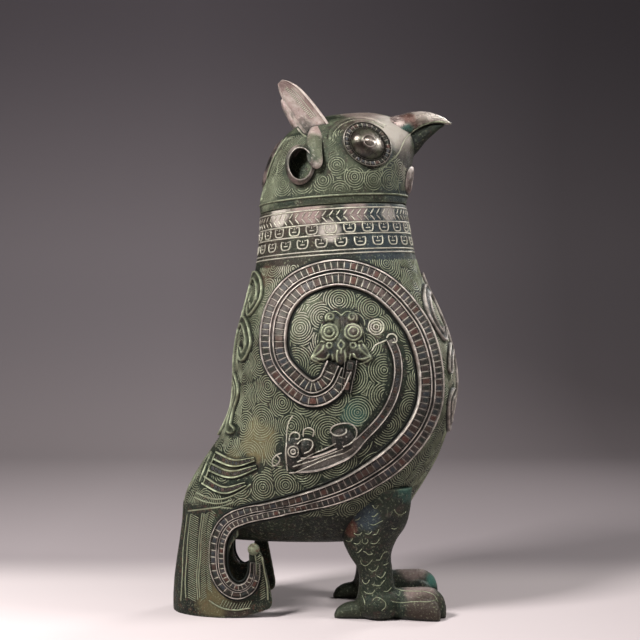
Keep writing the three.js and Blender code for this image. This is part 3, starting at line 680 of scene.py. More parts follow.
# Stains, painted shade and painted highlights: where, radius, tone and strength.
# lowShade is painted shade: darker low on the belly, towards its front.
lowShade = [((64, 60, 125), 80, "soot", 0.7), ((10, 60, 88), 56, "soot", 0.65)]
neckStains = [
    ((-40, 40, 322), 44, "umber", 0.7), ((34, 50, 320), 36, "slate", 0.7), ((0, 60, 312), 22, "soot", 0.6),
    ((-50, 40, 331), 11, "silver", 0.6), ((-26, 54, 333), 13, "rose", 0.7),
    ((-8, 58, 316), 9, "silver", 0.5),
    ((14, 58, 333), 11, "rose", 0.6), ((-36, 52, 304), 14, "deepGreen", 0.6),
    ((42, 42, 332), 8, "silver", 0.4),
]
flankStainsAndShade = [
    *lowShade,
    ((-10, 84, 172), 44, "deepGreen", 0.55), ((-66, 55, 147), 18, "ochre", 0.55),
    ((-88, 44, 128), 12, "ochre", 0.4), ((12, 84, 172), 11, "turquoise", 0.55),
    ((62, 60, 100), 15, "turquoise", 0.5), ((90, 26, 225), 44, "greyOlive", 0.5),
    ((-44, 72, 258), 30, "greyOlive", 0.75), ((-72, 44, 262), 24, "greyOlive", 0.7),
    ((44, 74, 148), 26, "soot", 0.6), ((20, 80, 190), 20, "deepGreen", 0.7),
    ((-62, 40, 282), 12, "rust", 0.5), ((28, 84, 238), 7, "rust", 0.8),
    ((-20, 76, 120), 22, "deepGreen", 0.6),
]
bellyFinish = bronzeMaterial(
    "bellyFinish", "soot", "deepGreen", "olive", "paleGreen", stainsAndPaintedLight=[*neckStains, *flankStainsAndShade], grimeAndShade=0.95,
    rough=0.5, metal=0.45, shine=0.3, flecks=0.9,
)
headFinish = bronzeMaterial(
    "headFinish", "deepGreen", "olive", "greyOlive", "paleGreen", grimeAndShade=0.9, rough=0.48, metal=0.45,
    shine=0.35,
    stainsAndPaintedLight=[
        ((10, 45, 410), 16, "umber", 0.8), ((46, 28, 402), 22, "silver", 0.6),
        ((20, 20, 418), 18, "rose", 0.5), ((-45, 25, 380), 16, "umber", 0.5),
        ((50, 30, 360), 24, "slate", 0.6), ((56, 24, 376), 18, "umber", 0.6),
        ((40, 50, 384), 14, "slate", 0.6), ((-55, 20, 350), 18, "paleGreen", 0.3),
    ],
)
lineFinish = bronzeMaterial(
    "lineFinish", "olive", "greyOlive", "paleGreen", "paleGreen", grimeAndShade=0.8, speck=0.25, rough=0.38,
    flecks=0.8, accent="rust", scale=30.0, shine=0.6,
    stainsAndPaintedLight=[
        # The first two spots are painted shade: the lines are darker low on the belly, where lowShade lies.
        ((64, 60, 125), 86, "olive", 0.75), ((10, 60, 88), 62, "olive", 0.7),
        ((30, 84, 200), 30, "greyOlive", 0.7), ((-10, 84, 172), 50, "greyOlive", 0.6),
        ((-10, 86, 236), 27, "silver", 0.65), ((-44, 72, 266), 34, "silver", 0.65),
        ((-84, 40, 165), 24, "paleGreen", 0.6), ((-66, 55, 147), 20, "ochre", 0.35),
        ((12, 84, 172), 12, "turquoise", 0.45), ((90, 26, 225), 44, "silver", 0.5),
        ((-40, 50, 326), 34, "silver", 0.7), ((40, 78, 150), 26, "olive", 0.6),
        ((-96, 30, 60), 20, "rust", 0.35),
    ],
)
paleFinish = bronzeMaterial(
    "paleFinish", "greyOlive", "paleGreen", "silver", "silver", grimeAndShade=0.45, speck=0.3, rough=0.38,
    stainsAndPaintedLight=[
        # The first two spots are painted shade: the lines are darker low on the belly, where lowShade lies.
        ((64, 60, 125), 84, "olive", 0.75), ((10, 60, 88), 60, "olive", 0.75),
        ((-40, 70, 262), 26, "silver", 0.6),
    ],
)
headLineFinish = bronzeMaterial(
    "headLineFinish", "olive", "greyOlive", "greyOlive", "paleGreen", grimeAndShade=0.7, speck=0.3, rough=0.4,
    stainsAndPaintedLight=[
        ((-36, 30, 424), 26, "silver", 0.85), ((10, 40, 414), 20, "rose", 0.5),
        ((56, 20, 380), 24, "silver", 0.6), ((18, 56, 358), 42, "olive", 0.9),
        ((40, 50, 70), 60, "greyOlive", 0.5),
    ],
)
scaleFinish = bronzeMaterial(
    "scaleFinish", "soot", "umber", "olive", "rose", cells=0.72, grimeAndShade=0.9, speck=0.2, scale=34.0,
    rough=0.36,
    stainsAndPaintedLight=[
        *lowShade, ((-44, 70, 258), 30, "silver", 0.45), ((38, 74, 264), 24, "rose", 0.55),
        ((30, 72, 405), 12, "silver", 0.5),
    ],
)
bandFinish = bronzeMaterial(
    "bandFinish", "soot", "deepGreen", "umber", "silver", grimeAndShade=0.85, speck=0.2, rough=0.38,
    stainsAndPaintedLight=[*lowShade, ((-44, 70, 258), 30, "rose", 0.5), ((60, 70, 220), 16, "rust", 0.4)],
)
earFinish = bronzeMaterial(
    "earFinish", "rose", "rose", "silver", "silver", grimeAndShade=0.9, speck=0.3, rough=0.4, flecks=0.2,
    stainsAndPaintedLight=[
        ((-46, 34, 410), 9, "deepGreen", 0.95), ((-39, 36, 399), 9, "turquoise", 0.6),
        ((-33, 40, 391), 7, "rust", 0.85), ((-52, 33, 424), 8, "deepGreen", 0.9),
        ((-19, 56, 386), 17, "greyOlive", 0.95), ((-32, 52, 370), 17, "deepGreen", 0.95),
        ((-31, 26, 402), 12, "deepGreen", 0.8),
    ],
)
beakFinish = bronzeMaterial(
    "beakFinish", "rose", "greyOlive", "silver", "silver", grimeAndShade=0.8, speck=0.3, rough=0.3,
    stainsAndPaintedLight=[
        ((58, 13, 411), 9, "rust", 0.85), ((57, 17, 401), 8, "turquoise", 0.85),
        # The silver on the beak's top near its tip is partly worn metal and partly a painted highlight.
        ((84, 5, 417), 14, "silver", 0.6),
    ],
)
tailFinish = bronzeMaterial(
    "tailFinish", "soot", "deepGreen", "olive", "paleGreen", grimeAndShade=0.95, accent="rust", flecks=0.5,
    scale=30.0, rough=0.55, metal=0.4, shine=0.25,
    stainsAndPaintedLight=[
        ((-104, 34, 50), 10, "rust", 0.6), ((-104, 38, 14), 16, "ochre", 0.4),
        ((-82, 40, 4), 12, "umber", 0.7),
    ],
)
maskFinish = bronzeMaterial(
    "maskFinish", "soot", "umber", "olive", "paleGreen", grimeAndShade=0.95, speck=0.15, rough=0.38,
    accent="slate", flecks=0.5,
    stainsAndPaintedLight=[((-9, 86, 236), 12, "greyOlive", 0.4), ((14, 86, 240), 9, "rose", 0.3)],
)
# A flat dark finish for the painted shadow beside the wing band.
shadowFinish = bronzeMaterial(
    "shadowFinish", "soot", "soot", "soot", "deepGreen", speck=0.0, flecks=0.0, rough=0.6
)
eyeFinish = bronzeMaterial(
    "eyeFinish", "soot", "umber", "greyOlive", "silver", rough=0.3, metal=0.6, grain=0.15, flecks=0.0,
    speck=0.05,
    # The silver spot at the dome's upper right is a painted highlight.
    stainsAndPaintedLight=[((30, 70, 396), 16, "rose", 0.4), ((35, 62, 390), 11, "silver", 0.5)],
)
silverFinish = bronzeMaterial(
    "silverFinish", "umber", "rose", "silver", "silver", grimeAndShade=0.9, speck=0.5, rough=0.38
)
legStains = [
    ((48, 40, 108), 16, "turquoise", 0.5), ((22, 56, 86), 12, "slate", 0.8), ((8, 52, 76), 8, "rust", 0.8),
    ((66, 40, 22), 14, "rose", 0.5), ((86, 30, 18), 9, "turquoise", 0.7), ((70, 56, 12), 18, "umber", 0.85),
    ((9, 40, 12), 16, "olive", 0.7), ((22, 70, 388), 14, "umber", 0.5), ((36, 40, 110), 9, "silver", 0.5),
]
finishes = {
    "green_patina": bronzeMaterial("greenPatina", "deepGreen", "olive", "greyOlive", "paleGreen"),
    "dark_patina": bronzeMaterial("darkPatina", "soot", "deepGreen", "olive", "paleGreen", stainsAndPaintedLight=legStains),
    "brown_patina": bronzeMaterial("brownPatina", "soot", "umber", "rose", "silver"),
}
slotOf = {row["node"]: row["material_slot"] for row in frame["record"]["subparts"]}
for name, part in frame["nodes"].items():
    part.data.materials.clear()
    part.data.materials.append(finishes[slotOf[name]])
print("nodes finished")


def bellySkin(columns=240):
    # Outer wall from the bottom to the rim, over the rounded lip and down the inner wall.
    turn = fullTurn(columns)
    wall = belly["wall"]
    centre = bellyPoints(bellyFloor, turn).mean(0)
    rings = [centre + (bellyPoints(bellyFloor, turn) - centre) * share for share in (0.2, 0.5, 0.8)]
    for level in np.concatenate([np.linspace(bellyFloor, 70, 8), np.linspace(72, rimHeight - 1, 122)]):
        rings.append(bellyPoints(level, turn))
    top = rimHeight
    for level, grow in ((top - 0.3, -0.3), (top, -1), (top, 1 - wall), (top - 0.3, 0.3 - wall)):
        rings.append(bellyPoints(level, turn, grow))
    for level in np.linspace(rimHeight - 1, bellyFloor + wall, 56):
        rings.append(bellyPoints(level, turn, -wall))
    low = bellyPoints(bellyFloor + wall, turn, -wall)
    rings.append(low.mean(0) + (low - low.mean(0)) * 0.5)
    return loft(rings)


bellyPiece = makeObject("bellySkin", *bellySkin(), bellyFinish)
finishPiece(bellyPiece, "vessel", "green_patina", "belly_shell")


def headSkin(columns=220):
    # From the crown down to the seat, down the tongue, and up the hollow inside.
    turn = fullTurn(columns)
    crown = headPoints(head["sections"][-1][0], turn)
    rings = [crown.mean(0) + (crown - crown.mean(0)) * 0.4]
    for height in np.concatenate([np.linspace(80.8, 79, 6), np.linspace(77.5, 1, 70)]):
        rings.append(headPoints(height, turn))
    lift = np.array([0, 0, seatGap])

    def tongue(grow, height):
        return bellyPoints(rimHeight, turn, grow) + np.array([0, 0, height])

    rings.append(headPoints(0.2, turn, -0.3) + lift)
    rings.append(headPoints(0, turn, -1) + lift)
    rings += [tongue(-head["tongueInset"], height) for height in (seatGap, -4, -9, -head["tongueDepth"])]
    inner = -head["tongueInset"] - head["tongueWall"]
    rings += [tongue(inner, height) for height in (-head["tongueDepth"], -9, -4, 0, head["tongueRoot"] - 1)]
    for height in np.linspace(head["tongueRoot"] + 1, head["hollowTop"], 24):
        rings.append(headPoints(height, turn, -head["wall"] - 0.6))
    return loft(rings)


headPiece = makeObject("headSkin", *headSkin(), headFinish)
finishPiece(headPiece, "lid", "green_patina", "head_shell")
print("belly and head made")


def rooted(points, surface, depth):
    # Points buried deeper than depth under a section surface are brought up to that depth.
    points = np.array(points, float)
    probe = 0.5

    def share(p):
        x, y, z = p[..., 0], p[..., 1], p[..., 2]
        if surface == "head":
            level = np.clip(z - rimHeight - belly["rise"] * x, 0, 80.8)
            back, front, half = headAt(level)
            egg = 0
        else:
            level = z
            for _ in range(4):
                level = z - riseAt(level) * x
            back, front, half = bellyAt(np.clip(level, bellyFloor, rimHeight))
            egg = eggAt(level)
        c = (x - (back + front) / 2) / ((front - back) / 2)
        wide = np.maximum(half * (1 + egg * np.clip(c, -1, 1)), 0.5)
        return np.hypot(c, y / wide) - 1

    for _ in range(6):
        here = share(points)
        steps = probe * np.eye(3)
        slope = np.stack([(share(points + step) - share(points - step)) / (2 * probe) for step in steps], -1)
        size = np.maximum(np.linalg.norm(slope, axis=-1), 1e-4)
        distance = here / size
        push = np.clip(-depth - distance, 0, 8)
        points = points + slope / size[..., None] * push[..., None]
    return points


def sweep(path, half, profile, place):
    # Rings across a path of dense [u, v] points. profile holds [share of the half width, lift].
    side = sideways(path) * np.broadcast_to(half, (len(path),))[:, None]
    rows = [place(path + side * share, np.full(len(path), float(lift))) for share, lift in profile]
    return np.stack(rows, 1)


def markPoints(piece, name, values):
    layer = piece.data.attributes.new(name, "FLOAT", "POINT")
    full = np.zeros(len(piece.data.vertices))
    values = np.asarray(values, float).ravel()
    full[: len(values)] = values
    layer.data.foreach_set("value", full)


def mirrorPiece(piece, name):
    mesh = piece.data.copy()
    mesh.name = name
    flat = np.zeros(len(mesh.vertices) * 3)
    mesh.vertices.foreach_get("co", flat)
    points = flat.reshape(-1, 3)
    points[:, 1] *= -1
    mesh.vertices.foreach_set("co", points.ravel())
    mesh.flip_normals()
    mesh.update()
    other = bpy.data.objects.new(name, mesh)
    scene.collection.objects.link(other)
    return other


def pairOf(piece, name, body, slotName, *nodes):
    # The right side's piece and its twin on the left.
    piece.name = "right" + name
    piece.data.name = piece.name
    twin = mirrorPiece(piece, "left" + name)
    finishPiece(piece, body, slotName, *["right_" + node for node in nodes])
    finishPiece(twin, body, slotName, *["left_" + node for node in nodes])
    return piece, twin


def patch(grid, root):
    # A raised patch: a grid of points, walls down to root points at its border, and a fan under it.
    rows, columns = grid.shape[:2]
    verts = [*grid.reshape(-1, 3)]
    faces = loftFaces(rows, columns, closed=False)
    border = [(0, j) for j in range(columns)] + [(i, columns - 1) for i in range(1, rows)]
    border += [(rows - 1, j) for j in range(columns - 2, -1, -1)] + [(i, 0) for i in range(rows - 2, 0, -1)]
    first = len(verts)
    verts += [root[i, j] for i, j in border]
    verts.append(root[rows // 2, columns // 2])
    middle = len(verts) - 1
    count = len(border)
    for k, (i, j) in enumerate(border):
        m = (k + 1) % count
        nextCorner = border[m]
        faces.append([nextCorner[0] * columns + nextCorner[1], i * columns + j, first + k, first + m])
        faces.append([first + m, first + k, middle])
    return np.array(verts), faces


def ellipsoid(x, y, z, a, b, c, rows=24, columns=32):
    turn = fullTurn(columns)
    rings = []
    for tilt in np.linspace(-math.pi / 2, math.pi / 2, rows + 2)[1:-1]:
        ring = np.stack(
            [
                x + a * math.cos(tilt) * np.cos(turn),
                y + b * math.cos(tilt) * np.sin(turn),
                np.full(columns, z + c * math.sin(tilt)),
            ],
            -1,
        )
        rings.append(ring)
    return loft(rings)


def strokeNearness(u, v, points, width, step=0.8):
    # 1 on a line drawn through points, falling away over width.
    line = curveThrough(points, step)
    nearest = np.full(u.shape, 1e9)
    for a, b in zip(line[:-1], line[1:]):
        ab = b - a
        t = np.clip(((u - a[0]) * ab[0] + (v - a[1]) * ab[1]) / max(ab @ ab, 1e-9), 0, 1)
        nearest = np.minimum(nearest, np.hypot(u - a[0] - t * ab[0], v - a[1] - t * ab[1]))
    return np.exp(-((nearest / width) ** 2))


def domeHeight(u, v, cu, cv, ru, rv, height):
    inside = np.clip(1 - ((u - cu) / ru) ** 2 - ((v - cv) / rv) ** 2, 0, 1)
    return height * np.sqrt(inside)


def ringPoints(cu, cv, radius, count=20, start=0.0, turns=1.0, end=None):
    # A circle, or a spiral where end gives the last radius.
    share = np.linspace(0, 1, count + 1)
    size = radius + ((radius if end is None else end) - radius) * share
    turn = start + 2 * math.pi * turns * share
    return np.stack([cu + size * np.cos(turn), cv + size * np.sin(turn)], -1)


def bandPiece(name, lines, halves, profile, place, material, sharp=60, extra=()):
    # Relief bands along lines. profile holds [share of the half width, lift, how pale the metal is].
    rows = [row[:2] for row in profile]
    pale = [row[2] for row in profile]
    parts = [loft(sweep(line, half, rows, place)) for line, half in zip(lines, halves)]
    piece = makeObject(name, *merged([*parts, *extra]), material, sharp)
    markPoints(piece, "fill", np.concatenate([[*np.tile(pale, len(line)), 0, 0] for line in lines]))
    return piece


# Wing: a serpent's body that coils round the mask and sweeps down to the tail's hook.
wing = {
    "path": [
        [0, 208], [-8, 192.5], [-22, 186.5], [-40, 198.7], [-50, 213], [-52.3, 230], [-50, 246.8],
        [-43.7, 260.3], [-30.2, 273.5], [-4, 281.9], [14.4, 279.5], [31.1, 272.3], [43.9, 261.9],
        [53.5, 250.8], [62.7, 237.2], [69.1, 220.3], [72.5, 200.2], [71.5, 178.5], [64.2, 160.1],
        [53.7, 145.8], [41.6, 133.8], [26.4, 122.9], [11.2, 113.9], [-6.4, 106.2], [-30.6, 98.5],
        [-55.3, 91.7], [-76.1, 86], [-89.6, 79], [-97, 67], [-99.2, 51.4], [-97.6, 36.5], [-91, 26],
        [-82.5, 22.4], [-73.5, 26.5], [-69, 36], [-68, 47],
    ],
    "coilHalf": 11,
    "sweepHalf": 6.6,
    "step": 2.0,
    # From the coil's inside to its outside.
    "profile": [
        [-1, -2, 0], [-1, 0.4, 0], [-0.985, 2.4, 0.5], [-0.95, 3.3, 1], [-0.89, 3.3, 1], [-0.85, 2.2, 0.3],
        [-0.8, 1.7, 0], [-0.14, 1.7, 0], [-0.11, 2.9, 1], [-0.05, 2.9, 1], [-0.02, 1.5, 0], [0.06, 1.3, 0],
        [0.13, 1.5, 0], [0.16, 2.9, 1], [0.22, 2.9, 1], [0.25, 1.7, 0], [0.8, 1.7, 0], [0.84, 2.9, 1],
        [0.92, 2.9, 1], [0.97, 2.0, 0.3], [1, 0.4, 0], [1, -2, 0],
    ],
}


def wingHalf(share):
    tip = 1 - 0.35 * smoothstep(share, 0.93, 1)
    return (wing["coilHalf"] + (wing["sweepHalf"] - wing["coilHalf"]) * smoothstep(share, 0.6, 0.8)) * tip


wingLine = curveThrough(wing["path"], wing["step"])
wingShare = np.linspace(0, 1, len(wingLine))
wingWidth = wingHalf(wingShare)
wingPiece = bandPiece("wingBand", [wingLine], [wingWidth], wing["profile"], onSide, bandFinish, sharp=50)
pairOf(wingPiece, "WingBand", "vessel", "brown_patina", "wing_band")
print("wing bands made")


# Mask in high relief at the coil's middle. Places are millimetres from its middle.
mask = {
    "middle": (1.2, 230.3),
    "reach": (-27, 27, -27, 25),
    "step": 0.5,
    "domes": [[0, -1, 17, 19, 2.6], [0, -9, 6.5, 13, 4.6]],  # u, v, half width, half height, rise
    "twinDomes": [  # each on both sides
        [9, 3.8, 8, 7.6, 5.2], [8.3, 15.2, 5.4, 5.2, 4.2], [14.5, -11, 7.5, 6.5, 3.8],
        [19.5, -15.5, 5.5, 4, 3], [9, 3.8, 3, 3, 7.4], [3.2, 10, 3.6, 7, 3.8],
    ],
    "strokes": [  # points, width, height: on both sides
        [ringPoints(9, 3.8, 3.7), 0.75, 1.3], [ringPoints(9, 3.8, 6.3), 0.7, 1.1],
        [ringPoints(8.3, 15.2, 3.9, turns=1.3, start=-0.6, end=1.0), 0.75, 1.3],
        [ringPoints(9, -6.2, 2.1), 0.6, 1.0],
        [[(15, 11), (17.4, 4), (18.4, -3.5)], 0.75, 0.9],
        [[(13.5, -3.5), (16.2, -3), (17.6, -6), (23, -16)], 0.8, 1.2],
        [[(7, -13.5), (6.4, -17), (10.5, -20), (17, -20), (23, -16.5)], 0.8, 1.2],
        [[(9.2, -13.2), (11.5, -16.6), (16, -17), (21.5, -15.4)], 0.7, 1.0],
        [[(13.5, -6), (14, -9), (17, -12), (22, -15.8)], 0.7, 0.9],
    ],
    "middleStrokes": [
        [[(0, -2.6), (2.3, -6.2), (0, -9.4), (-2.3, -6.2), (0, -2.6)], 0.7, 1.1],
        [[(0, -10.6), (0, -12)], 0.8, 1.0],
        [[(-3.2, -19), (-3.4, -14), (-2.6, -10.5)], 0.7, 0.9],
        [[(3.2, -19), (3.4, -14), (2.6, -10.5)], 0.7, 0.9],
        [[(-10, 20), (-4, 20.8), (0, 18.2), (4, 20.8), (10, 20)], 0.75, 0.9],
    ],
}


def makeMask():
    spec = mask
    left, right, low, high = spec["reach"]
    us = np.linspace(left, right, int((right - left) / spec["step"]) + 1)
    vs = np.linspace(low, high, int((high - low) / spec["step"]) + 1)
    u, v = np.meshgrid(us, vs, indexing="ij")
    domes = [domeHeight(u, v, *row) for row in spec["domes"]]
    for cu, cv, ru, rv, rise in spec["twinDomes"]:
        domes += [domeHeight(u, v, cu, cv, ru, rv, rise), domeHeight(u, v, -cu, cv, ru, rv, rise)]
    body = np.sum([d**4 for d in domes], axis=0) ** 0.25
    present = smoothstep(body, 0.2, 1.2)
    fill = np.zeros_like(u)
    lines = np.zeros_like(u)
    for points, width, height in spec["strokes"]:
        points = np.asarray(points, float)
        near = np.maximum(strokeNearness(u, v, points, width), strokeNearness(-u, v, points, width))
        lines = np.maximum(lines, near * height)
        fill = np.maximum(fill, near)
    for points, width, height in spec["middleStrokes"]:
        near = strokeNearness(u, v, points, width)
        lines = np.maximum(lines, near * height)
        fill = np.maximum(fill, near)
    lift = -0.6 + body + 0.6 * present + lines * np.maximum(present, smoothstep(fill, 0.3, 0.8))
    path = np.stack([u + spec["middle"][0], v + spec["middle"][1]], -1)
    grid = onSide(path, lift)
    root = onSide(path, np.full(u.shape, -2.2))
    piece = makeObject("mask", *patch(grid, root), maskFinish, sharp=80)
    markPoints(piece, "fill", fill)
    return piece


pairOf(makeMask(), "WingMask", "vessel", "dark_patina", "wing_mask")
print("wing masks made")


# The lesser serpent inside the wing's sweep.
serpent = {
    "path": [
        [39.5, 228.6], [44.3, 216.7], [45.5, 203.2], [43.5, 190.5], [38.8, 177.9], [30.9, 165.9],
        [19, 153.1], [9.5, 143.9], [-2.4, 137.3], [-18.4, 131], [-34, 129],
    ],
    "profile": [
        [-1, -2, 0], [-1, 0.3, 0], [-0.95, 1.8, 1], [-0.78, 1.8, 1], [-0.68, 0.9, 0], [0.68, 0.9, 0],
        [0.78, 1.8, 1], [0.95, 1.8, 1], [1, 0.3, 0], [1, -2, 0],
    ],
    # Crest, head, horn and brow: x, z and radii.
    "lumps": [
        (2.5, 151, 9, 4, 9), (-35.5, 138.5, 8.5, 4, 13), (-36, 140, 4, 5.6, 4), (-25, 143.5, 6, 3.6, 8),
    ],
}
serpentLine = curveThrough(serpent["path"], 1.6)
serpentShare = np.linspace(0, 1, len(serpentLine))
serpentHalf = 3.3 + 3.2 * smoothstep(serpentShare, 0.58, 0.75)
serpentLumps = [ellipsoid(x, -float(wallHalf(x, z)), z, *radii) for x, z, *radii in serpent["lumps"]]
serpentPiece = bandPiece(
    "serpent", [serpentLine], [serpentHalf], serpent["profile"], onSide, bandFinish, sharp=50,
    extra=serpentLumps
)
pairOf(serpentPiece, "SerpentBand", "vessel", "brown_patina", "serpent_band")


# Plumes on the rump, breast scrolls and back scrolls.
plumes = {
    "paths": [
        [[-101.7, 131.3], [-85, 127.5], [-67.8, 132]],
        [[-106.6, 122.2], [-87.6, 118.5], [-66, 126]],
        [[-111.6, 111.4], [-93.4, 105.5], [-75, 112]],
    ],
    "quill": [[-103.5, 133], [-108, 122], [-113, 109]],
    "half": 3.9,
    "thinning": 0.6,
    "quillHalf": 2.6,
    "step": 1.5,
    "profile": [
        [-1, -2, 0], [-1, 0.3, 0], [-0.88, 2, 1], [-0.62, 2, 1], [-0.48, 1.3, 0], [0.48, 1.3, 0],
        [0.62, 2, 1], [0.88, 2, 1], [1, 0.3, 0], [1, -2, 0],
    ],
}


plumeRoutes = [curveThrough(path, plumes["step"]) for path in [*plumes["paths"], plumes["quill"]]]
plumeHalves = [
    plumes["half"] * (1 - plumes["thinning"] * np.linspace(0, 1, len(line)) ** 2)
    for line in plumeRoutes[:-1]
]
plumePiece = bandPiece(
    "plumes", plumeRoutes, [*plumeHalves, plumes["quillHalf"]], plumes["profile"], onSide, bellyFinish
)
pairOf(plumePiece, "RumpPlumes", "vessel", "green_patina", "rump_plumes")

scrolls = {
    "breast": {
        "side": 1, "half": 4.5, "height": 2.9, "ridge": (284, 150),
        "paths": [
            [[0, 262], [16, 270], [32, 262], [40, 245], [33, 231], [23, 238]],
            [[0, 214], [16, 221], [30, 214], [39, 201]],
            [[0, 160], [15, 156], [30, 164], [37, 179], [27, 187]],
        ],
    },
    "back": {
        "side": -1, "half": 4, "height": 2.5, "ridge": (286, 146),
        "paths": [
            [[0, 276], [14, 282], [30, 276], [38, 262], [31, 251], [23, 259]],
            [[0, 238], [16, 244], [34, 237], [42, 224], [34, 214], [26, 222]],
            [[0, 190], [13, 196], [24, 186], [18, 170], [22, 156], [34, 152]],
        ],
    },
    "step": 1.6,
    "profile": [  # lifts are shares of the height
        [-1, -2, 0], [-1, 0.1, 0], [-0.92, 0.75, 0.6], [-0.75, 1, 1], [-0.58, 0.85, 0.5], [-0.4, 0.6, 0],
        [0.4, 0.6, 0], [0.58, 0.85, 0.5], [0.75, 1, 1], [0.92, 0.75, 0.6], [1, 0.1, 0], [1, -2, 0],
    ],
}


def makeScrolls(name, spec, material):
    def place(path, lift):
        return onEnd(path, lift, spec["side"])

    high = spec["height"]
    profile = [[share, lift * high if lift > 0 else lift, pale] for share, lift, pale in scrolls["profile"]]
    routes = [[[0, level] for level in spec["ridge"]]]
    for path in spec["paths"]:
        routes += [np.array(path, float) * [side, 1] for side in (-1, 1)]
    lines = [curveThrough(route, scrolls["step"]) for route in routes]
    blunt = [1 - np.abs(np.linspace(-1, 1, len(line))) ** 12 for line in lines]
    halves = [spec["half"] * np.sqrt(np.clip(share, 0.02, 1)) for share in blunt]
    return bandPiece(name, lines, halves, profile, place, material)


breastScrolls = makeScrolls("breastScrolls", scrolls["breast"], bandFinish)
finishPiece(breastScrolls, "vessel", "dark_patina", "breast_mask")
backScrolls = makeScrolls("backScrolls", scrolls["back"], finishes["green_patina"])
finishPiece(backScrolls, "vessel", "green_patina", "back_relief")
print("reliefs made")


# Legs: a feathered thigh and shank over three front toes and a spur.
legs = {
    "spread": 38,
    "sections": [  # height, middle x, half length, half width
        [15, 32, 18, 14], [24, 31, 15, 13], [40, 29.5, 14.2, 12.6], [52, 25.5, 17.4, 14.5],
        [64, 25, 22, 18.5], [76, 28.5, 26.3, 21.3], [90, 31, 27.5, 22], [108, 35, 25, 21],
    ],
    "toeReach": 42,
    "toes": [  # heading, length, half width, height, dip
        [0, 46, 9, 24, 1], [-0.3, 42, 8.5, 17, 0], [0.3, 42, 8.5, 17, 0], [math.pi, 46, 8, 15, 3.5],
    ],
    "toeRows": [[0, 0.9, 0.95], [0.35, 1, 1], [0.75, 0.9, 1], [0.94, 0.65, 0.75], [1, 0.25, 0.45]],
    "ankle": [33, 0, 12, 19, 17, 15],  # middle and radii
    "shoulder": [35, 0, 103, 24.5, 20.5, 11],
    "voxel": 1.3,
}


def makeLeg():
    turn = fullTurn(64)
    at = through(legs["sections"])
    rings = []
    for height in np.linspace(15, 108, 60):
        x, long, wide = at(height)
        rings.append(np.stack([x + long * np.cos(turn), wide * np.sin(turn), np.full(64, height)], -1))
    parts = [loft(rings), ellipsoid(*legs["ankle"]), ellipsoid(*legs["shoulder"])]
    rowAt = through(legs["toeRows"])
    for heading, length, halfWidth, height, dip in legs["toes"]:
        rings = []
        for share in np.concatenate([np.linspace(0, 0.9, 22), np.linspace(0.92, 1, 7)]):
            wide, tall = rowAt(share)
            top = height * tall - dip * share
            across = halfWidth * wide * np.cos(turn)
            up = top * (0.5 + 0.56 * np.sin(turn))
            x = legs["toeReach"] + math.cos(heading) * length * share - math.sin(heading) * across
            y = math.sin(heading) * length * share + math.cos(heading) * across
            rings.append(np.stack([x, y, up], -1))
        parts.append(loft(rings))
    piece = remeshed("leg", parts, finishes["dark_patina"], legs["voxel"], 4)

    def seat(points):
        points = points.copy()
        points[:, 1] -= legs["spread"]
        points = rooted(points, "belly", 2.5)
        points[:, 2] = np.maximum(points[:, 2], 0)
        return points

    moveVerts(piece, seat)
    return piece


pairOf(makeLeg(), "Leg", "vessel", "dark_patina", "leg")
print("legs made")


def makeTail():
    # The tail's plate as it was cast, with its outer face brought onto the smooth curve.
    mesh = frame["nodes"]["tail_support"].data.copy()
    work = bmesh.new()
    work.from_mesh(mesh)
    bmesh.ops.remove_doubles(work, verts=work.verts, dist=1e-6)
    work.to_mesh(mesh)
    work.free()
    rough = bpy.data.objects.new("tailRough", mesh)
    scene.collection.objects.link(rough)
    remesh = rough.modifiers.new("skin", "REMESH")
    remesh.mode = "VOXEL"
    remesh.voxel_size = 1.2 * mm
    fine = evaluatedMesh(rough)
    bpy.data.objects.remove(rough)
    piece = linkMesh("tailSkin", fine, tailFinish, 50)

    def smoothFace(points):
        points = points.copy()
        x, y, z = points.T
        half = tailHalf(x, np.clip(z, 0, tail["top"]))
        near = (np.abs(np.abs(y) - half) < 1.6) & (half > 2)
        points[:, 1] = np.where(near, np.sign(y) * half, y)
        points[:, 2] = np.maximum(z, 0)
        return points

    moveVerts(piece, smoothFace)
    return piece


finishPiece(makeTail(), "vessel", "green_patina", "tail_support")
print("tail made")


# Beak, as upright sections across X: place, top, bottom, half width; heights are above the rim.
beak = {
    "upper": [
        [38, 78, 50, 27], [50, 80, 55, 23], [61, 83, 62.5, 18], [70, 83.8, 68.5, 13.5],
        [80, 82.6, 72.3, 9], [88, 79.6, 73.2, 5.2], [94, 75.8, 72.8, 2.2], [96.2, 74.2, 73, 0.9],
    ],
    "lower": [
        [50, 62, 38, 16], [58, 66, 42, 13.5], [66.5, 70, 48.5, 11], [74.5, 73, 58.5, 8],
        [81, 74, 64.5, 5.5], [87, 73.5, 69.8, 2.8], [90, 73, 71.4, 1.4],
    ],
}


def makeBeak(name, rows, material):
    at = through(rows)
    turn = fullTurn(56)
    rings = []
    for x in np.linspace(rows[0][0], rows[-1][0], 60):
        top, bottom, half = at(x)
        up = np.sin(turn)
        height = (top + bottom) / 2 + (top - bottom) / 2 * np.sign(up) * np.abs(up) ** 0.85
        rings.append(np.stack([np.full(56, x), half * np.cos(turn), rimHeight + height], -1))
    verts, faces = loft(rings)
    return makeObject(name, rooted(verts, "head", 2.5), faces, material, sharp=60)


upperBeak = makeBeak("upperBeak", beak["upper"], beakFinish)
finishPiece(upperBeak, "lid", "brown_patina", "upper_beak")
lowerBeak = makeBeak("lowerBeak", beak["lower"], finishes["dark_patina"])
finishPiece(lowerBeak, "lid", "dark_patina", "lower_beak")


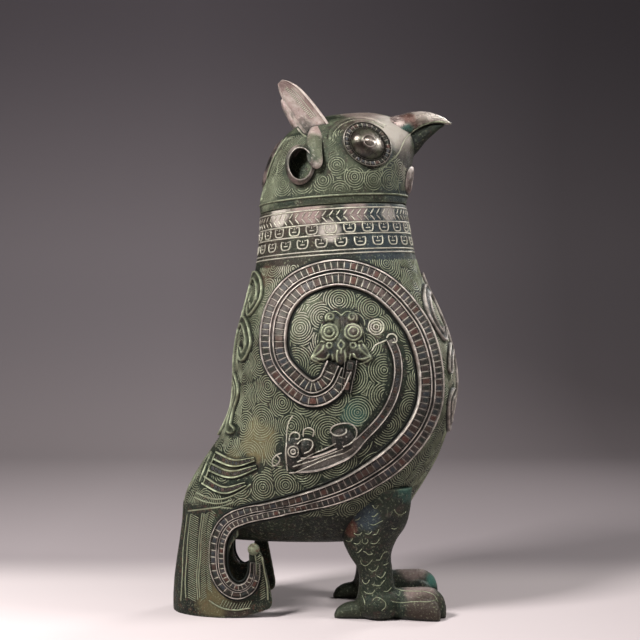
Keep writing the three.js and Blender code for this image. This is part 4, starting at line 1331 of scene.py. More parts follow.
ear = {
    "rows": [  # x, height above the rim, half width, depth
        [-9, 53, 8.5, 5], [-17.7, 64, 10.6, 6.5], [-29.4, 78.7, 11, 7], [-37.5, 90, 9.2, 6],
        [-44, 97.4, 6.6, 4.6], [-48.3, 101.8, 2.8, 2.8],
    ],
    "across": (0.72, 0.69),  # the way the horn's width lies in the side view
    "foot": -31,
    "lean": 8,
    "wall": 3.2,
    "lobe": [[-18, -30, 64], [-20, -45, 53], [-20, -56.5, 39], [-18.5, -59.5, 28]],
    "lobeHalf": (6.4, 3.2),
    "cup": {
        "x": -31.5, "y": -48.5, "height": 32.3, "radii": (12.5, 12, 16.5), "wall": 1.8, "mouth": -58,
        "full": 3.4,
    },
}


def earHorn():
    rows = np.array(ear["rows"], float)
    at = through([[i, *row] for i, row in enumerate(ear["rows"])])
    last = len(rows) - 1
    arc = np.linspace(0, math.pi, 15)
    rings = []
    for place in np.linspace(0, last, 50):
        x, height, half, deep = at(place)
        edge = ear["foot"] - ear["lean"] * place / last
        shares = np.concatenate([half * np.cos(arc), 0.8 * half * np.cos(arc[::-1])])
        inwards = np.concatenate([deep * np.sin(arc), (deep - ear["wall"]) * np.sin(arc[::-1]) - 1.2])
        along, up = ear["across"]
        ring = [x + along * shares, edge + inwards, rimHeight + height + up * shares]
        rings.append(np.stack(ring, -1))
    return loft(rings)


def earLobe():
    line = curveThrough([[x, y, rimHeight + h] for x, y, h in ear["lobe"]], 1.2)
    along = np.gradient(line, axis=0)
    along /= np.linalg.norm(along, axis=1, keepdims=True)
    outward = np.cross(along, [1.0, 0, 0])
    outward /= np.linalg.norm(outward, axis=1, keepdims=True)
    turn = fullTurn(32)
    share = np.linspace(0, 1, len(line))
    size = np.sqrt(np.clip(1 - np.clip((share - 0.8) / 0.2, 0, 1) ** 2, 0.02, 1))
    wide, thick = ear["lobeHalf"]
    rings = [
        middle + s * (wide * np.cos(turn)[:, None] * [1.0, 0, 0] + thick * np.sin(turn)[:, None] * out)
        for middle, out, s in zip(line, outward, size)
    ]
    return loft(rings)


def earCup():
    # A bowl on its side: from its buried back, over the rim, and back down its hollow.
    spec = ear["cup"]
    a, b, c = spec["radii"]
    turn = fullTurn(56)
    reach = spec["y"] - spec["mouth"]
    rings = []

    def ring(y, share, wall):
        x = spec["x"] + (a - wall) * share * np.cos(turn)
        z = rimHeight + spec["height"] + (c - wall) * share * np.sin(turn)
        return np.stack([x, np.full(56, y), z], -1)

    def wide(place):
        # Round at its back and fuller towards its mouth.
        return math.sqrt(1 - place**2) if place < 0 else (1 - place ** spec["full"]) ** (1 / spec["full"])

    for place in np.linspace(-0.97, reach / b, 26):
        rings.append(ring(spec["y"] - b * place, wide(place), 0))
    lip = wide(reach / b)
    rings.append(ring(spec["mouth"] - 0.5, lip, 0.5))
    rings.append(ring(spec["mouth"] - 0.5, lip, spec["wall"] - 0.6))
    deep = b - spec["wall"] / 2
    for place in np.linspace(reach / b, -0.6, 20):
        rings.append(ring(spec["y"] - deep * place, wide(place), spec["wall"]))
    return loft(rings)


def makeEar():
    verts, faces = merged([earHorn(), earLobe(), earCup()])
    return makeObject("ear", rooted(verts, "head", 2.5), faces, earFinish, sharp=60)


pairOf(makeEar(), "Ear", "lid", "brown_patina", "ear")


eye = {
    "place": (22.5, -48.6, 48.8),  # the last is above the rim
    "size": (21, 1, 18),
    "turns": (0.2, math.pi - 0.22, -0.62),  # about Z, X and Y
    "profile": [  # share of the radius, height
        [0.02, -6], [1, -6], [1, 1.4], [0.995, 2.4], [0.98, 2.9], [0.965, 2.9], [0.952, 2.4],
        [0.95, 1.8], [0.755, 1.8], [0.75, 2.4], [0.735, 3.0], [0.72, 3.0], [0.7, 2.6], [0.68, 3.4],
        [0.62, 5.2], [0.52, 6.9], [0.42, 8.1], [0.33, 8.8], [0.3, 9.0], [0.285, 9.8], [0.25, 10.0],
        [0.225, 9.6], [0.2, 9.2], [0.13, 9.9], [0.07, 10.7], [0.04, 11.1], [0.01, 11.3],
    ],
}


def eyePoints(share, turn, height):
    matrix = Matrix.Translation((eye["place"][0], eye["place"][1], rimHeight + eye["place"][2]))
    for amount, axis in zip(eye["turns"], "ZXY"):
        matrix = matrix @ Matrix.Rotation(amount, 4, axis)
    wide, deep, tall = eye["size"]
    local = np.stack([wide * share * np.cos(turn), deep * height, tall * share * np.sin(turn)], -1)
    return local @ np.array(matrix.to_3x3()).T + np.array(matrix.translation)


def makeEye():
    turn = fullTurn(96)
    rings = [eyePoints(np.full(96, share), turn, np.full(96, height)) for share, height in eye["profile"]]
    verts, faces = loft(rings)
    return makeObject("eye", rooted(verts, "head", 3), faces, eyeFinish, sharp=60)


pairOf(makeEye(), "Eye", "lid", "dark_patina", "eye")


headPatches = {
    "nape": {"angle": math.pi, "width": 0.36, "low": 24, "high": 62, "thick": 2.4},
    "throat": {"angle": 0.0, "width": 0.42, "low": 10, "high": 32, "thick": 2.8},
}


def makeHeadPatch(name, spec, material):
    share, across = np.meshgrid(np.linspace(0, 1, 50), np.linspace(-1, 1, 50), indexing="ij")
    height = spec["low"] + (spec["high"] - spec["low"]) * share
    narrow = spec["width"] * (1 - 0.45 * (2 * share - 1) ** 4)
    rise = spec["thick"] * (1 - 0.5 * (2 * share - 1) ** 6) * (1 - 0.6 * across**4)
    grid = headPoints(height, spec["angle"] + narrow * across, rise)
    root = headPoints(height, spec["angle"] + narrow * across, -2.2)
    return makeObject(name, *patch(grid, root), material, sharp=60)


napeScroll = makeHeadPatch("napeScroll", headPatches["nape"], finishes["brown_patina"])
finishPiece(napeScroll, "lid", "brown_patina", "nape_scroll")
throatPlaque = makeHeadPatch("throatPlaque", headPatches["throat"], silverFinish)
finishPiece(throatPlaque, "lid", "brown_patina", "throat_plaque")
print("head's pieces made")


# Fine relief. Lines are drawn in millimetres, brought onto a finished piece and raised as half-sunk ridges.

def closeTree(tree, shape, finish, leave):
    # Each tree ends in smooth, real meshes with their finish on them.
    soft = addNode(tree, "GeometryNodeSetShadeSmooth", {"Geometry": shape})
    whole = addNode(tree, "GeometryNodeRealizeInstances", {"Geometry": soft.outputs[0]})
    paint = addNode(tree, "GeometryNodeSetMaterial", {"Geometry": whole.outputs[0], "Material": finish})
    tree.links.new(paint.outputs[0], leave[0])


def makeLineTree():
    # A ridge along each line, thinner where the line's own attribute says so.
    inputs = [
        ("Geometry", "Geometry"), ("Radius", "Float", 0.0005), ("Sides", "Int", 6), ("Finish", "Material"),
    ]
    tree, enter, leave = newTree("raisedLine", inputs, [("Geometry", "Geometry")], "GeometryNodeTree")
    thick = addNode(tree, "GeometryNodeInputNamedAttribute", {"Name": "thick"}, data_type="FLOAT")
    radius = calculate(tree, "MULTIPLY", thick.outputs[0], enter["Radius"])
    route = addNode(tree, "GeometryNodeMeshToCurve", {"Mesh": enter["Geometry"]})
    ring = addNode(tree, "GeometryNodeCurvePrimitiveCircle", {"Resolution": enter["Sides"], "Radius": 1.0})
    values = {"Curve": route.outputs[0], "Profile Curve": ring.outputs["Curve"], "Scale": radius}
    values["Fill Caps"] = True
    made = addNode(tree, "GeometryNodeCurveToMesh", values)
    closeTree(tree, made.outputs[0], enter["Finish"], leave)
    return tree


def makeCushionTree():
    # Each quad becomes a rounded cushion, closed underneath.
    inputs = [
        ("Geometry", "Geometry"), ("Height", "Float", 0.001), ("Cover", "Float", 0.85), ("Levels", "Int", 2),
        ("Corner", "Float", 0.35), ("Finish", "Material"),
    ]
    tree, enter, leave = newTree("cushions", inputs, [("Geometry", "Geometry")], "GeometryNodeTree")
    apart = addNode(tree, "GeometryNodeSplitEdges", {"Mesh": enter["Geometry"]})
    values = {"Geometry": apart.outputs[0], "Scale": enter["Cover"]}
    small = addNode(tree, "GeometryNodeScaleElements", values)
    under = addNode(tree, "GeometryNodeFlipFaces", {"Mesh": small.outputs[0]})
    values = {"Mesh": small.outputs[0], "Offset Scale": enter["Height"], "Individual": True}
    top = addNode(tree, "GeometryNodeExtrudeMesh", values)
    both = addNode(tree, "GeometryNodeJoinGeometry")
    tree.links.new(top.outputs["Mesh"], both.inputs[0])
    tree.links.new(under.outputs[0], both.inputs[0])
    sewn = addNode(tree, "GeometryNodeMergeByDistance", {"Geometry": both.outputs[0], "Distance": 1e-6})
    values = {"Mesh": sewn.outputs[0], "Level": enter["Levels"], "Edge Crease": enter["Corner"]}
    rounded = addNode(tree, "GeometryNodeSubdivisionSurface", values)
    closeTree(tree, rounded.outputs[0], enter["Finish"], leave)
    return tree


lineTree = makeLineTree()
cushionTree = makeCushionTree()


def throughTree(name, mesh, tree, values):
    # Runs a mesh through a tree with the given inputs and bakes what comes out.
    rough = bpy.data.objects.new(name + "Rough", mesh)
    scene.collection.objects.link(rough)
    modifier = rough.modifiers.new("made", "NODES")
    modifier.node_group = tree
    for socket in tree.interface.items_tree:
        if socket.in_out == "INPUT" and socket.name in values:
            modifier[socket.identifier] = values[socket.name]
    made = evaluatedMesh(rough)
    bpy.data.objects.remove(rough)
    made.name = name
    piece = bpy.data.objects.new(name, made)
    scene.collection.objects.link(piece)
    return piece


def drawLines(name, lines, radius, material, sides=6):
    # lines holds [points, closed]. Open lines thin out at their ends.
    verts = []
    edges = []
    thick = []
    for points, closed in lines:
        first = len(verts)
        count = len(points)
        verts += [*points]
        edges += [(first + i, first + i + 1) for i in range(count - 1)]
        if closed:
            edges.append((first + count - 1, first))
        width = np.ones(count)
        if not closed:
            width[0] = width[-1] = 0.55
        thick += [*width]
    mesh = bpy.data.meshes.new(name)
    mesh.from_pydata(toFrame(verts), edges, [])
    mesh.attributes.new("thick", "FLOAT", "POINT").data.foreach_set("value", thick)
    values = {"Radius": radius * mm, "Sides": sides, "Finish": material}
    return throughTree(name, mesh, lineTree, values)


def drawCushions(name, quads, height, material, cover=0.85, seed=3):
    # quads is a list of four corners each, turned to face outwards, and each gets a tone of its own.
    quads = np.asarray(quads, float)
    count = len(quads)
    mesh = bpy.data.meshes.new(name)
    mesh.from_pydata(toFrame(quads), [], np.arange(4 * count).reshape(-1, 4).tolist())
    shade = np.random.default_rng(seed).random(count)
    mesh.attributes.new("tone", "FLOAT", "FACE").data.foreach_set("value", shade)
    values = {"Height": height * mm, "Cover": cover, "Levels": 2, "Corner": 0.35, "Finish": material}
    return throughTree(name, mesh, cushionTree, values)


def linePair(name, lines, radius, material, body, slotName, sides=6):
    return pairOf(drawLines(name, lines, radius, material, sides), name, body, slotName)


def cushionPair(name, quads, height, material, body, slotName, cover=0.8):
    return pairOf(drawCushions(name, quads, height, material, cover), name, body, slotName)


def bellyPlace(points):
    # The level and the angle at which points lie round the belly.
    x, y, z = np.moveaxis(points, -1, 0)
    level = z
    for _ in range(5):
        level = z - riseAt(level) * x
    back, front, half = bellyAt(np.clip(level, bellyFloor, rimHeight))
    c = (x - (back + front) / 2) / ((front - back) / 2)
    s = y / (half * (1 + eggAt(level) * np.clip(c, -1, 1)))
    return level, np.arctan2(s, c)


def headPlace(points):
    x, y, z = np.moveaxis(points, -1, 0)
    height = z - rimHeight - belly["rise"] * x
    back, front, half = headAt(np.clip(height, 0, 80))
    c = (x - (back + front) / 2) / ((front - back) / 2)
    return height, np.arctan2(y / half, c)


def onShell(points, find, surface, lift):
    # Points brought level onto a section surface, then lifted along its normal.
    level, angle = find(points)
    foot = surface(level, angle)
    alongAngle = surface(level, angle + 0.01) - surface(level, angle - 0.01)
    alongLevel = surface(level + 0.3, angle) - surface(level - 0.3, angle)
    normal = np.cross(alongAngle, alongLevel)
    normal /= np.maximum(np.linalg.norm(normal, axis=-1, keepdims=True), 1e-9)
    return foot + normal * lift


def onBelly(points, lift=0.0):
    return onShell(points, bellyPlace, bellyPoints, lift)


def onHead(points, lift=0.0):
    return onShell(points, headPlace, headPoints, lift)


def nearPath(points, path):
    # Distance from [x, z] points to the nearest point of a path.
    nearest = np.full(len(points), 1e9)
    for i in range(0, len(path), 400):
        gap = np.linalg.norm(points[:, None] - path[None, i : i + 400], axis=-1).min(1)
        nearest = np.minimum(nearest, gap)
    return nearest


def whorls(centres, place, allowed, pitch, reach, lift, step=1.5, first=0.9, seed=5):
    # Rings about each centre, as far as the land that lies nearest to that centre.
    rng = np.random.default_rng(seed)
    centres = np.asarray(centres, float)
    lines = []
    up = np.array([0.0, 0, 1])
    for centre in centres:
        probe = place(np.stack([centre, centre + [0.01, 0, 0]]), 1.0)[0] - place(centre[None], 0.0)[0]
        normal = probe / np.linalg.norm(probe)
        across = np.cross(up, normal)
        across /= np.linalg.norm(across)
        upward = np.cross(normal, across)
        near = centres[np.linalg.norm(centres - centre, axis=1) < 2.2 * reach]
        start = rng.random() * 6.28
        for size in np.arange(first, reach, pitch):
            count = max(int(2 * math.pi * size / step), 7)
            turn = start + fullTurn(count)
            ring = centre + (size * np.cos(turn))[:, None] * across + (size * np.sin(turn))[:, None] * upward
            ring = place(ring, lift)
            gaps = np.linalg.norm(ring[:, None] - near[None], axis=-1)
            own = np.linalg.norm(ring - centre, axis=-1)
            keep = (own <= gaps.min(1) + 0.3) & allowed(ring)
            if keep.all():
                lines.append((ring, True))
                continue
            if not keep.any():
                continue
            shift = int(np.argmin(keep))
            ring = np.roll(ring, -shift, axis=0)
            keep = np.roll(keep, -shift)
            runs = np.flatnonzero(np.diff(np.concatenate([[0], keep.astype(int), [0]])))
            for a, b in runs.reshape(-1, 2):
                if b - a >= 3:
                    lines.append((ring[a:b], False))
    return lines


def scatter(fixed, sample, gap, tries, seed):
    # Adds places by throwing darts, none nearer than gap to another.
    rng = np.random.default_rng(seed)
    places = [np.asarray(p, float) for p in fixed]
    for candidate in sample(rng, tries):
        if all(np.linalg.norm(candidate - p) > gap for p in places):
            places.append(candidate)
    return np.array(places)


# Rings that fill the ground of the belly between the reliefs.
ground = {
    "pitch": 1.95,
    "radius": 0.48,
    "lift": -0.12,
    "gap": 19,
    "reach": 17,
    "levels": (86, 292),
    # On the flank: x and height of the whorls that show most.
    "centres": [
        (-29.4, 238), (-0.4, 260), (23.9, 253), (28.6, 239), (12.1, 172), (-38, 160), (-8, 156), (30, 205),
    ],
    # How far the rings keep from each relief, and from how far out or along a relief counts.
    "fromSweep": 8.6,
    "fromCoil": 12.6,
    "coilFoot": 150,
    "flankOnly": (34, 30),
    "mask": (1.5, 231, 19, 23),
    "fromSerpent": 7.2,
    "fromLumps": 2,
    "fromPlumes": 4.6,
    "plumesEnd": -50,
    "fromScrolls": 1.0,
    "scrollsEnd": 20,
}
reliefLines = {}
for end in ("breast", "back"):
    routes = [np.array([[0, level] for level in scrolls[end]["ridge"]], float), *scrolls[end]["paths"]]
    reliefLines[end] = [curveThrough(route, 2.0) for route in routes]
plumeLines = [curveThrough(path, 2.0) for path in [*plumes["paths"], plumes["quill"]]]
serpentLand = [(x, z, max(a, c) + ground["fromLumps"]) for x, z, a, _, c in serpent["lumps"]]


def bareGround(points):
    # True where the belly's wall carries nothing but its ground.
    x, y, z = points.T
    side = np.stack([x, z], -1)
    level = z - riseAt(z) * x
    atCoil, atMask = ground["flankOnly"]
    gap = np.where(z < ground["coilFoot"], ground["fromSweep"], ground["fromCoil"])
    clear = (nearPath(side, wingLine) > gap) | (np.abs(y) < atCoil)
    maskX, maskZ, wide, tall = ground["mask"]
    clear &= (np.hypot((x - maskX) / wide, (z - maskZ) / tall) > 1) | (np.abs(y) < atMask)
    clear &= (nearPath(side, serpentLine) > ground["fromSerpent"]) | (np.abs(y) < atMask)
    for px, pz, reach in serpentLand:
        clear &= np.hypot(x - px, z - pz) > reach
    for line in plumeLines:
        clear &= (nearPath(side, line) > ground["fromPlumes"]) | (x > ground["plumesEnd"])
    front = np.stack([np.abs(y), z], -1)
    for end, sign in (("breast", 1), ("back", -1)):
        half = scrolls[end]["half"] + ground["fromScrolls"]
        for line in reliefLines[end]:
            clear &= (nearPath(front, line) > half) | (x * sign < ground["scrollsEnd"])
    return clear & (level > ground["levels"][0]) & (level < ground["levels"][1])


def groundLines():
    def sample(rng, tries):
        level = rng.uniform(ground["levels"][0], ground["levels"][1], tries)
        angle = rng.uniform(-math.pi, 0, tries)
        return bellyPoints(level, angle)

    fixed = [onBelly(np.array([[x, -70.0, z]]), 0.0)[0] for x, z in ground["centres"]]
    middle = [bellyPoints(level, angle) for angle in (0, -math.pi) for level in (105, 128)]
    centres = scatter([*fixed, *middle], sample, ground["gap"], 5000, 11)
    twins = centres[np.abs(centres[:, 1]) > 4] * [1, -1, 1]
    both = np.vstack([centres, twins])

    def allowed(points):
        return bareGround(points) & (points[:, 1] < 0.6)

    return whorls(both, onBelly, allowed, ground["pitch"], ground["reach"], ground["lift"])


rightGround, _ = linePair(
    "GroundWhorls", groundLines(), ground["radius"], lineFinish, "vessel", "green_patina", sides=5
)
print("ground whorls made:", len(rightGround.data.polygons), "faces")


# The neck's bands: a row of chevrons, two rows of cup marks, and the lines between them.
neck = {
    "lines": [334.5, 322.6, 313.4, 300.6, 297.6],
    "chevron": (323.6, 333.6),
    "chevrons": 66,
    "rows": [318.2, 307.2],
    "marks": 25,
    "markSize": (4.6, 3.5),
    "radius": 0.68,
}


def aroundNeck(level):
    # The way round the neck at a level, and the angle at a distance along it.
    angles = np.linspace(-math.pi, math.pi, 721)
    points = bellyPoints(np.full(721, level), angles)
    run = runAlong(points)

    def angleAt(distance):
        return np.interp(np.mod(distance, run[-1]), run, angles)

    return run[-1], angleAt


def neckStroke(points, level, start, angleAt):
    points = np.asarray(points, float)
    foot = bellyPoints(level + points[:, 1], angleAt(start + points[:, 0]))
    return onBelly(foot, -0.1)


def neckLines():
    thin = []
    bold = []
    for level in neck["lines"]:
        angles = np.linspace(-math.pi, math.pi, 240, endpoint=False)
        bold.append((onBelly(bellyPoints(np.full(240, level), angles), -0.15), True))
    low, high = neck["chevron"]
    middle = (low + high) / 2
    length, angleAt = aroundNeck(middle)
    for i in range(neck["chevrons"]):
        start = length * i / neck["chevrons"]
        rise = (high - low) / 2 - 0.4
        for sign in (-1, 1):
            stroke = [(-1.5, sign * 0.5), (0.1, sign * rise * 0.5), (1.9, sign * rise)]
            thin.append((neckStroke(stroke, middle, start, angleAt), False))
    wide, tall = neck["markSize"]
    side = [(wide, tall), (wide, -0.3), (wide * 0.72, -tall * 0.85)]
    marks = [
        curveThrough([(-x, y) for x, y in side] + [(0, -tall)] + side[::-1], 1.1),
        [(-wide, tall), (-wide * 0.35, tall * 0.8)], [(wide, tall), (wide * 0.35, tall * 0.8)],
        [(0, tall * 0.9), (0, tall * 0.35)], [(-wide * 0.45, -0.4), (0, -0.4), (wide * 0.45, -0.4)],
    ]
    for number, level in enumerate(neck["rows"]):
        length, angleAt = aroundNeck(level)
        for i in range(neck["marks"]):
            start = length * (i + 0.5 * number) / neck["marks"]
            thin += [(neckStroke(mark, level, start, angleAt), False) for mark in marks]
    return thin + bold


neckPiece = drawLines("neckMarks", neckLines(), neck["radius"], paleFinish)
finishPiece(neckPiece, "vessel", "green_patina")
print("neck marks made")


# Wing scales: a row of broad cushions on the coil's side of the groove and a row of small ones beyond it.
wingScales = {
    "rows": [
        {"edges": (-0.82, -0.12), "count": 112, "floor": 1.3},
        {"edges": (0.24, 0.83), "count": 134, "floor": 1.3},
    ],
    "height": 1.3,
    "cover": 0.84,
    "ends": (0.012, 0.985),
    # The ridges between the scales.
    "barRise": 0.75,
    "barRadius": 0.5,
}


def bandCells(line, half, spec, ends):
    # Quads along a band on the flank, between two shares of its width and two shares of its length.
    run = runAlong(line)
    places = np.linspace(*ends, spec["count"] + 1) * run[-1]
    side = sideways(line)
    points = np.stack([np.interp(places, run, line[:, k]) for k in range(2)], -1)
    side = np.stack([np.interp(places, run, side[:, k]) for k in range(2)], -1)
    halves = np.interp(places, run, half)
    lift = np.full(len(points), spec["floor"])
    low, high = [onSide(points + side * (halves * share)[:, None], lift) for share in spec["edges"]]
    return np.stack([low[:-1], low[1:], high[1:], high[:-1]], 1)


def barsBetween(starts, ends):
    return [(np.stack([a, (a + b) / 2, b]), False) for a, b in zip(starts, ends)]


quads = np.vstack([bandCells(wingLine, wingWidth, row, wingScales["ends"]) for row in wingScales["rows"]])
wingCushions, _ = cushionPair(
    "WingScales", quads, wingScales["height"], scaleFinish, "vessel", "brown_patina", wingScales["cover"]
)
print("wing scales made:", len(wingCushions.data.polygons), "faces")


# Details placed in the camera's view: their places are pixels of its 640 px frame, carried onto the
# pieces along the camera's rays.
sight = {"focal": 1260.0, "middle": (320, 323), "jump": 5.0}


def surfaceOf(*names):
    # One search tree over finished pieces.
    points = []
    faces = []
    for name in names:
        mesh = bpy.data.objects[name].data
        mesh.calc_loop_triangles()
        first = len(points)
        points += [vert.co.copy() for vert in mesh.vertices]
        faces += [[first + corner for corner in tri.vertices] for tri in mesh.loop_triangles]
    return BVHTree.FromPolygons(points, faces)


def seen(paths, surface, lift=-0.1, step=1.3):
    # Lines through the given places, where the camera's rays meet the surface.
    eyePoint = Vector((camera["aimX"], -camera["distance"], camera["height"]))
    lines = []
    for path in paths:
        run = []
        for px, py in curveThrough(path, step):
            across = (px - sight["middle"][0]) / sight["focal"]
            up = (sight["middle"][1] - py) / sight["focal"]
            hit, normal, _, _ = surface.ray_cast(eyePoint, Vector((across, 1, up)).normalized())
            point = None
            if hit is not None:
                normal = -normal if normal.y > 0 else normal
                point = np.array(hit + normal * lift * mm) / mm - [axisX, 0, 0]
            if point is None or (run and np.linalg.norm(point - run[-1]) > sight["jump"]):
                if len(run) > 1:
                    lines.append((np.array(run), False))
                run = []
            if point is not None:
                run.append(point)
        if len(run) > 1:
            lines.append((np.array(run), False))
    return lines


def ringPath(cx, cy, rx, ry=None):
    turn = np.linspace(0, 2 * math.pi, 13)
    ry = rx if ry is None else ry
    return np.stack([cx + rx * np.cos(turn), cy + ry * np.sin(turn)], -1)


def hatch(path, pitch, stroke):
    # Short strokes set along a path, stroke being their half length and drop.
    line = curveThrough(path, pitch)
    return [[(x - stroke[0], y - stroke[1]), (x, y), (x + stroke[0], y + stroke[1])] for x, y in line]


def dots(path, pitch, width):
    # Strokes so short that each is a bead.
    return [[(x, y), (x + width, y)] for x, y in curveThrough(path, pitch)]


# Head: brow, mouth, nape curls, the horn's rim and hatching, and beads in the ear's bowl.
headLines = {
    "bold": [
        [(405.5, 138), (402.5, 144.5), (399, 152), (394, 158), (386, 164.5)],
        [(405, 139), (412.5, 131.5), (421, 126), (430, 122.8), (437.5, 121.8), (446, 122.8)],
        [(277, 88), (280, 97), (286.5, 111), (294.5, 124.5), (302.5, 134), (309, 138.5)],
        [(287, 137), (280, 147), (273, 160), (268, 174), (267, 184)],
    ],
    "fine": [
        [(333, 142), (334, 133), (340, 126), (349, 121.5), (361, 119.8), (373, 122), (384, 128)],
        [(290, 141), (284, 153), (278, 165), (276, 177), (271, 187)],
        ringPath(274.5, 170, 3.4, 4.2), ringPath(270.5, 181, 3, 4),
        [(291, 88), (299, 96), (307, 106), (316, 117)],
        [(336, 164), (345, 169.5), (357, 172.3), (375, 171), (387, 166)],
        [(400, 172), (398, 180), (398.5, 190), (401, 197)],
        [(383, 168), (381, 176), (377, 182)], [(391, 166), (392, 176), (390, 186)],
    ],
    "brow": [(330, 140), (331.5, 131), (338, 123.5), (348, 119), (361, 117.6), (374, 119.8), (386, 126)],
    "hornHatch": [(286.5, 88.5), (294, 96.5), (302, 106), (312, 117)],
    "beads": [
        [(288.5, 160), (291, 166), (296, 171), (302, 175.5), (308, 178)],
        [(292, 160), (295, 165), (300, 169.5), (307, 172.5)],
    ],
}
headSurface = surfaceOf(
    "headSkin", "upperBeak", "lowerBeak", "rightEar", "rightEye", "napeScroll", "throatPlaque"
)
linePair("HeadRidges", seen(headLines["bold"], headSurface), 0.85, headLineFinish, "lid", "green_patina")
brow = seen([headLines["brow"]], headSurface, -1.0)
linePair("Brow", brow, 2.0, headFinish, "lid", "green_patina", sides=16)
strokes = hatch(headLines["hornHatch"], 1.9, (1.5, -1.1))
fine = seen(headLines["fine"] + strokes, headSurface, step=1.0)
linePair("HeadLines", fine, 0.5, headLineFinish, "lid", "green_patina")
beads = [dot for path in headLines["beads"] for dot in dots(path, 2.1, 0.25)]
linePair("EarBeads", seen(beads, headSurface, step=0.2), 0.75, headLineFinish, "lid", "green_patina")
around = np.linspace(-math.pi, math.pi, 240, endpoint=False)
lidRing = [(headPoints(np.full(240, 7.2), around, 0.1), True)]
finishPiece(drawLines("lidLine", lidRing, 0.9, headLineFinish), "lid", "green_patina")


# The head's whorls, and what they leave plain. Heights are above the rim.
headBare = {
    "pitch": 1.9,
    "radius": 0.46,
    "reach": 13,
    "lift": -0.1,
    "gap": 15.5,
    "heights": (10, 62),
    "centresTo": 60,
    "eye": (22, 48, 24, 20),  # x, height and radii of what stays plain
    "cup": (-31, 32, 14.5, 18),
    "lobe": (-18, 9, 24),  # x, half width and foot
    "beakFrom": 46,
    "napeFrom": -50,
    "patchHalf": 18,
    "napeFoot": 24,
    "crown": (66, 20),  # greatest height, and where it starts to fall towards the beak
}


def headGround():
    # Whorls over the cheeks and the back of the head.
    low, high = headBare["heights"]

    def sample(rng, tries):
        height = rng.uniform(low, headBare["centresTo"], tries)
        return headPoints(height, rng.uniform(-math.pi, 0, tries))

    def allowed(points):
        x, y, z = points.T
        height = z - rimHeight - belly["rise"] * x
        clear = (height > low) & (height < high) & (y < 0.5)
        for middle, level, wide, tall in (headBare["eye"], headBare["cup"]):
            clear &= np.hypot((x - middle) / wide, (height - level) / tall) > 1
        middle, half, foot = headBare["lobe"]
        clear &= (np.abs(x - middle) > half) | (height < foot)
        beside = np.abs(y) > headBare["patchHalf"]
        clear &= (x < headBare["beakFrom"]) | beside
        clear &= (x > headBare["napeFrom"]) | beside | (height < headBare["napeFoot"])
        top, start = headBare["crown"]
        return clear & (height < top - np.clip(x - start, 0, 50))

    centres = scatter([headPoints(20.0, -1.75), headPoints(21.0, -2.35)], sample, headBare["gap"], 2500, 4)
    both = np.vstack([centres, centres * [1, -1, 1]])
    return whorls(both, onHead, allowed, headBare["pitch"], headBare["reach"], headBare["lift"])


linePair("HeadWhorls", headGround(), headBare["radius"], headLineFinish, "lid", "green_patina", sides=5)


# Eye: a ring of small blocks with ridges between them.
eyeRing = {"count": 27, "shares": (0.765, 0.945)}
turns = np.arange(eyeRing["count"] + 1) * 2 * math.pi / eyeRing["count"]
lift = np.full(len(turns), 1.7)
inner, outer = [eyePoints(np.full(len(turns), share), turns, lift) for share in eyeRing["shares"]]
quads = np.stack([inner[:-1], inner[1:], outer[1:], outer[:-1]], 1)
cushionPair("EyeBlocks", quads, 1.0, scaleFinish, "lid", "dark_patina")
linePair("EyeBars", barsBetween(inner[:-1], outer[:-1]), 0.62, paleFinish, "lid", "dark_patina")
print("head details made")


# Wing: a pale ridge between neighbouring scales.
bars = []
for row in wingScales["rows"]:
    raised = {**row, "floor": row["floor"] + wingScales["barRise"]}
    cells = bandCells(wingLine, wingWidth, raised, wingScales["ends"])
    bars += barsBetween(cells[:, 0], cells[:, 3])
linePair("WingBars", bars, wingScales["barRadius"], paleFinish, "vessel", "brown_patina", sides=5)

# A painted shadow of dark strips beside the wing band, the plumes' cells, and the short bar that hangs from
# the mask.
shadowStrips = []
for gap in (-1.2, 1.2):
    edge = wingLine + sideways(wingLine) * (wingWidth * np.sign(gap) + gap)[:, None]
    shadowStrips.append((onSide(edge, np.full(len(edge), -0.55)), False))
linePair("WingUndercut", shadowStrips, 1.15, shadowFinish, "vessel", "brown_patina", sides=8)
plumeCells = {"edges": (-0.5, 0.5), "count": 11, "floor": 1.0}
quads = [bandCells(line, half, plumeCells, (0.04, 0.9)) for line, half in zip(plumeRoutes, plumeHalves)]
cushionPair("PlumeCells", np.vstack(quads), 0.8, scaleFinish, "vessel", "green_patina")
beard = {
    "path": [[8.5, 213], [7.6, 205], [6, 197], [5, 188]],
    "half": 4.8,
    "cells": {"edges": (-0.62, 0.62), "count": 3, "floor": 1.9},
}
line = curveThrough(beard["path"], 1.2)
half = beard["half"] * (1 - 0.25 * np.linspace(0, 1, len(line)) ** 3)
edge = [row[:2] for row in wing["profile"][:7]]
rings = sweep(line, half, edge + [[-share, lift] for share, lift in edge[::-1]], onSide)
pairOf(makeObject("beard", *loft(rings), bandFinish, sharp=50), "MaskBeard", "vessel", "dark_patina")
quads = bandCells(line, half, beard["cells"], (0.05, 0.95))
cushionPair("BeardCells", quads, 1.0, scaleFinish, "vessel", "brown_patina", cover=0.86)

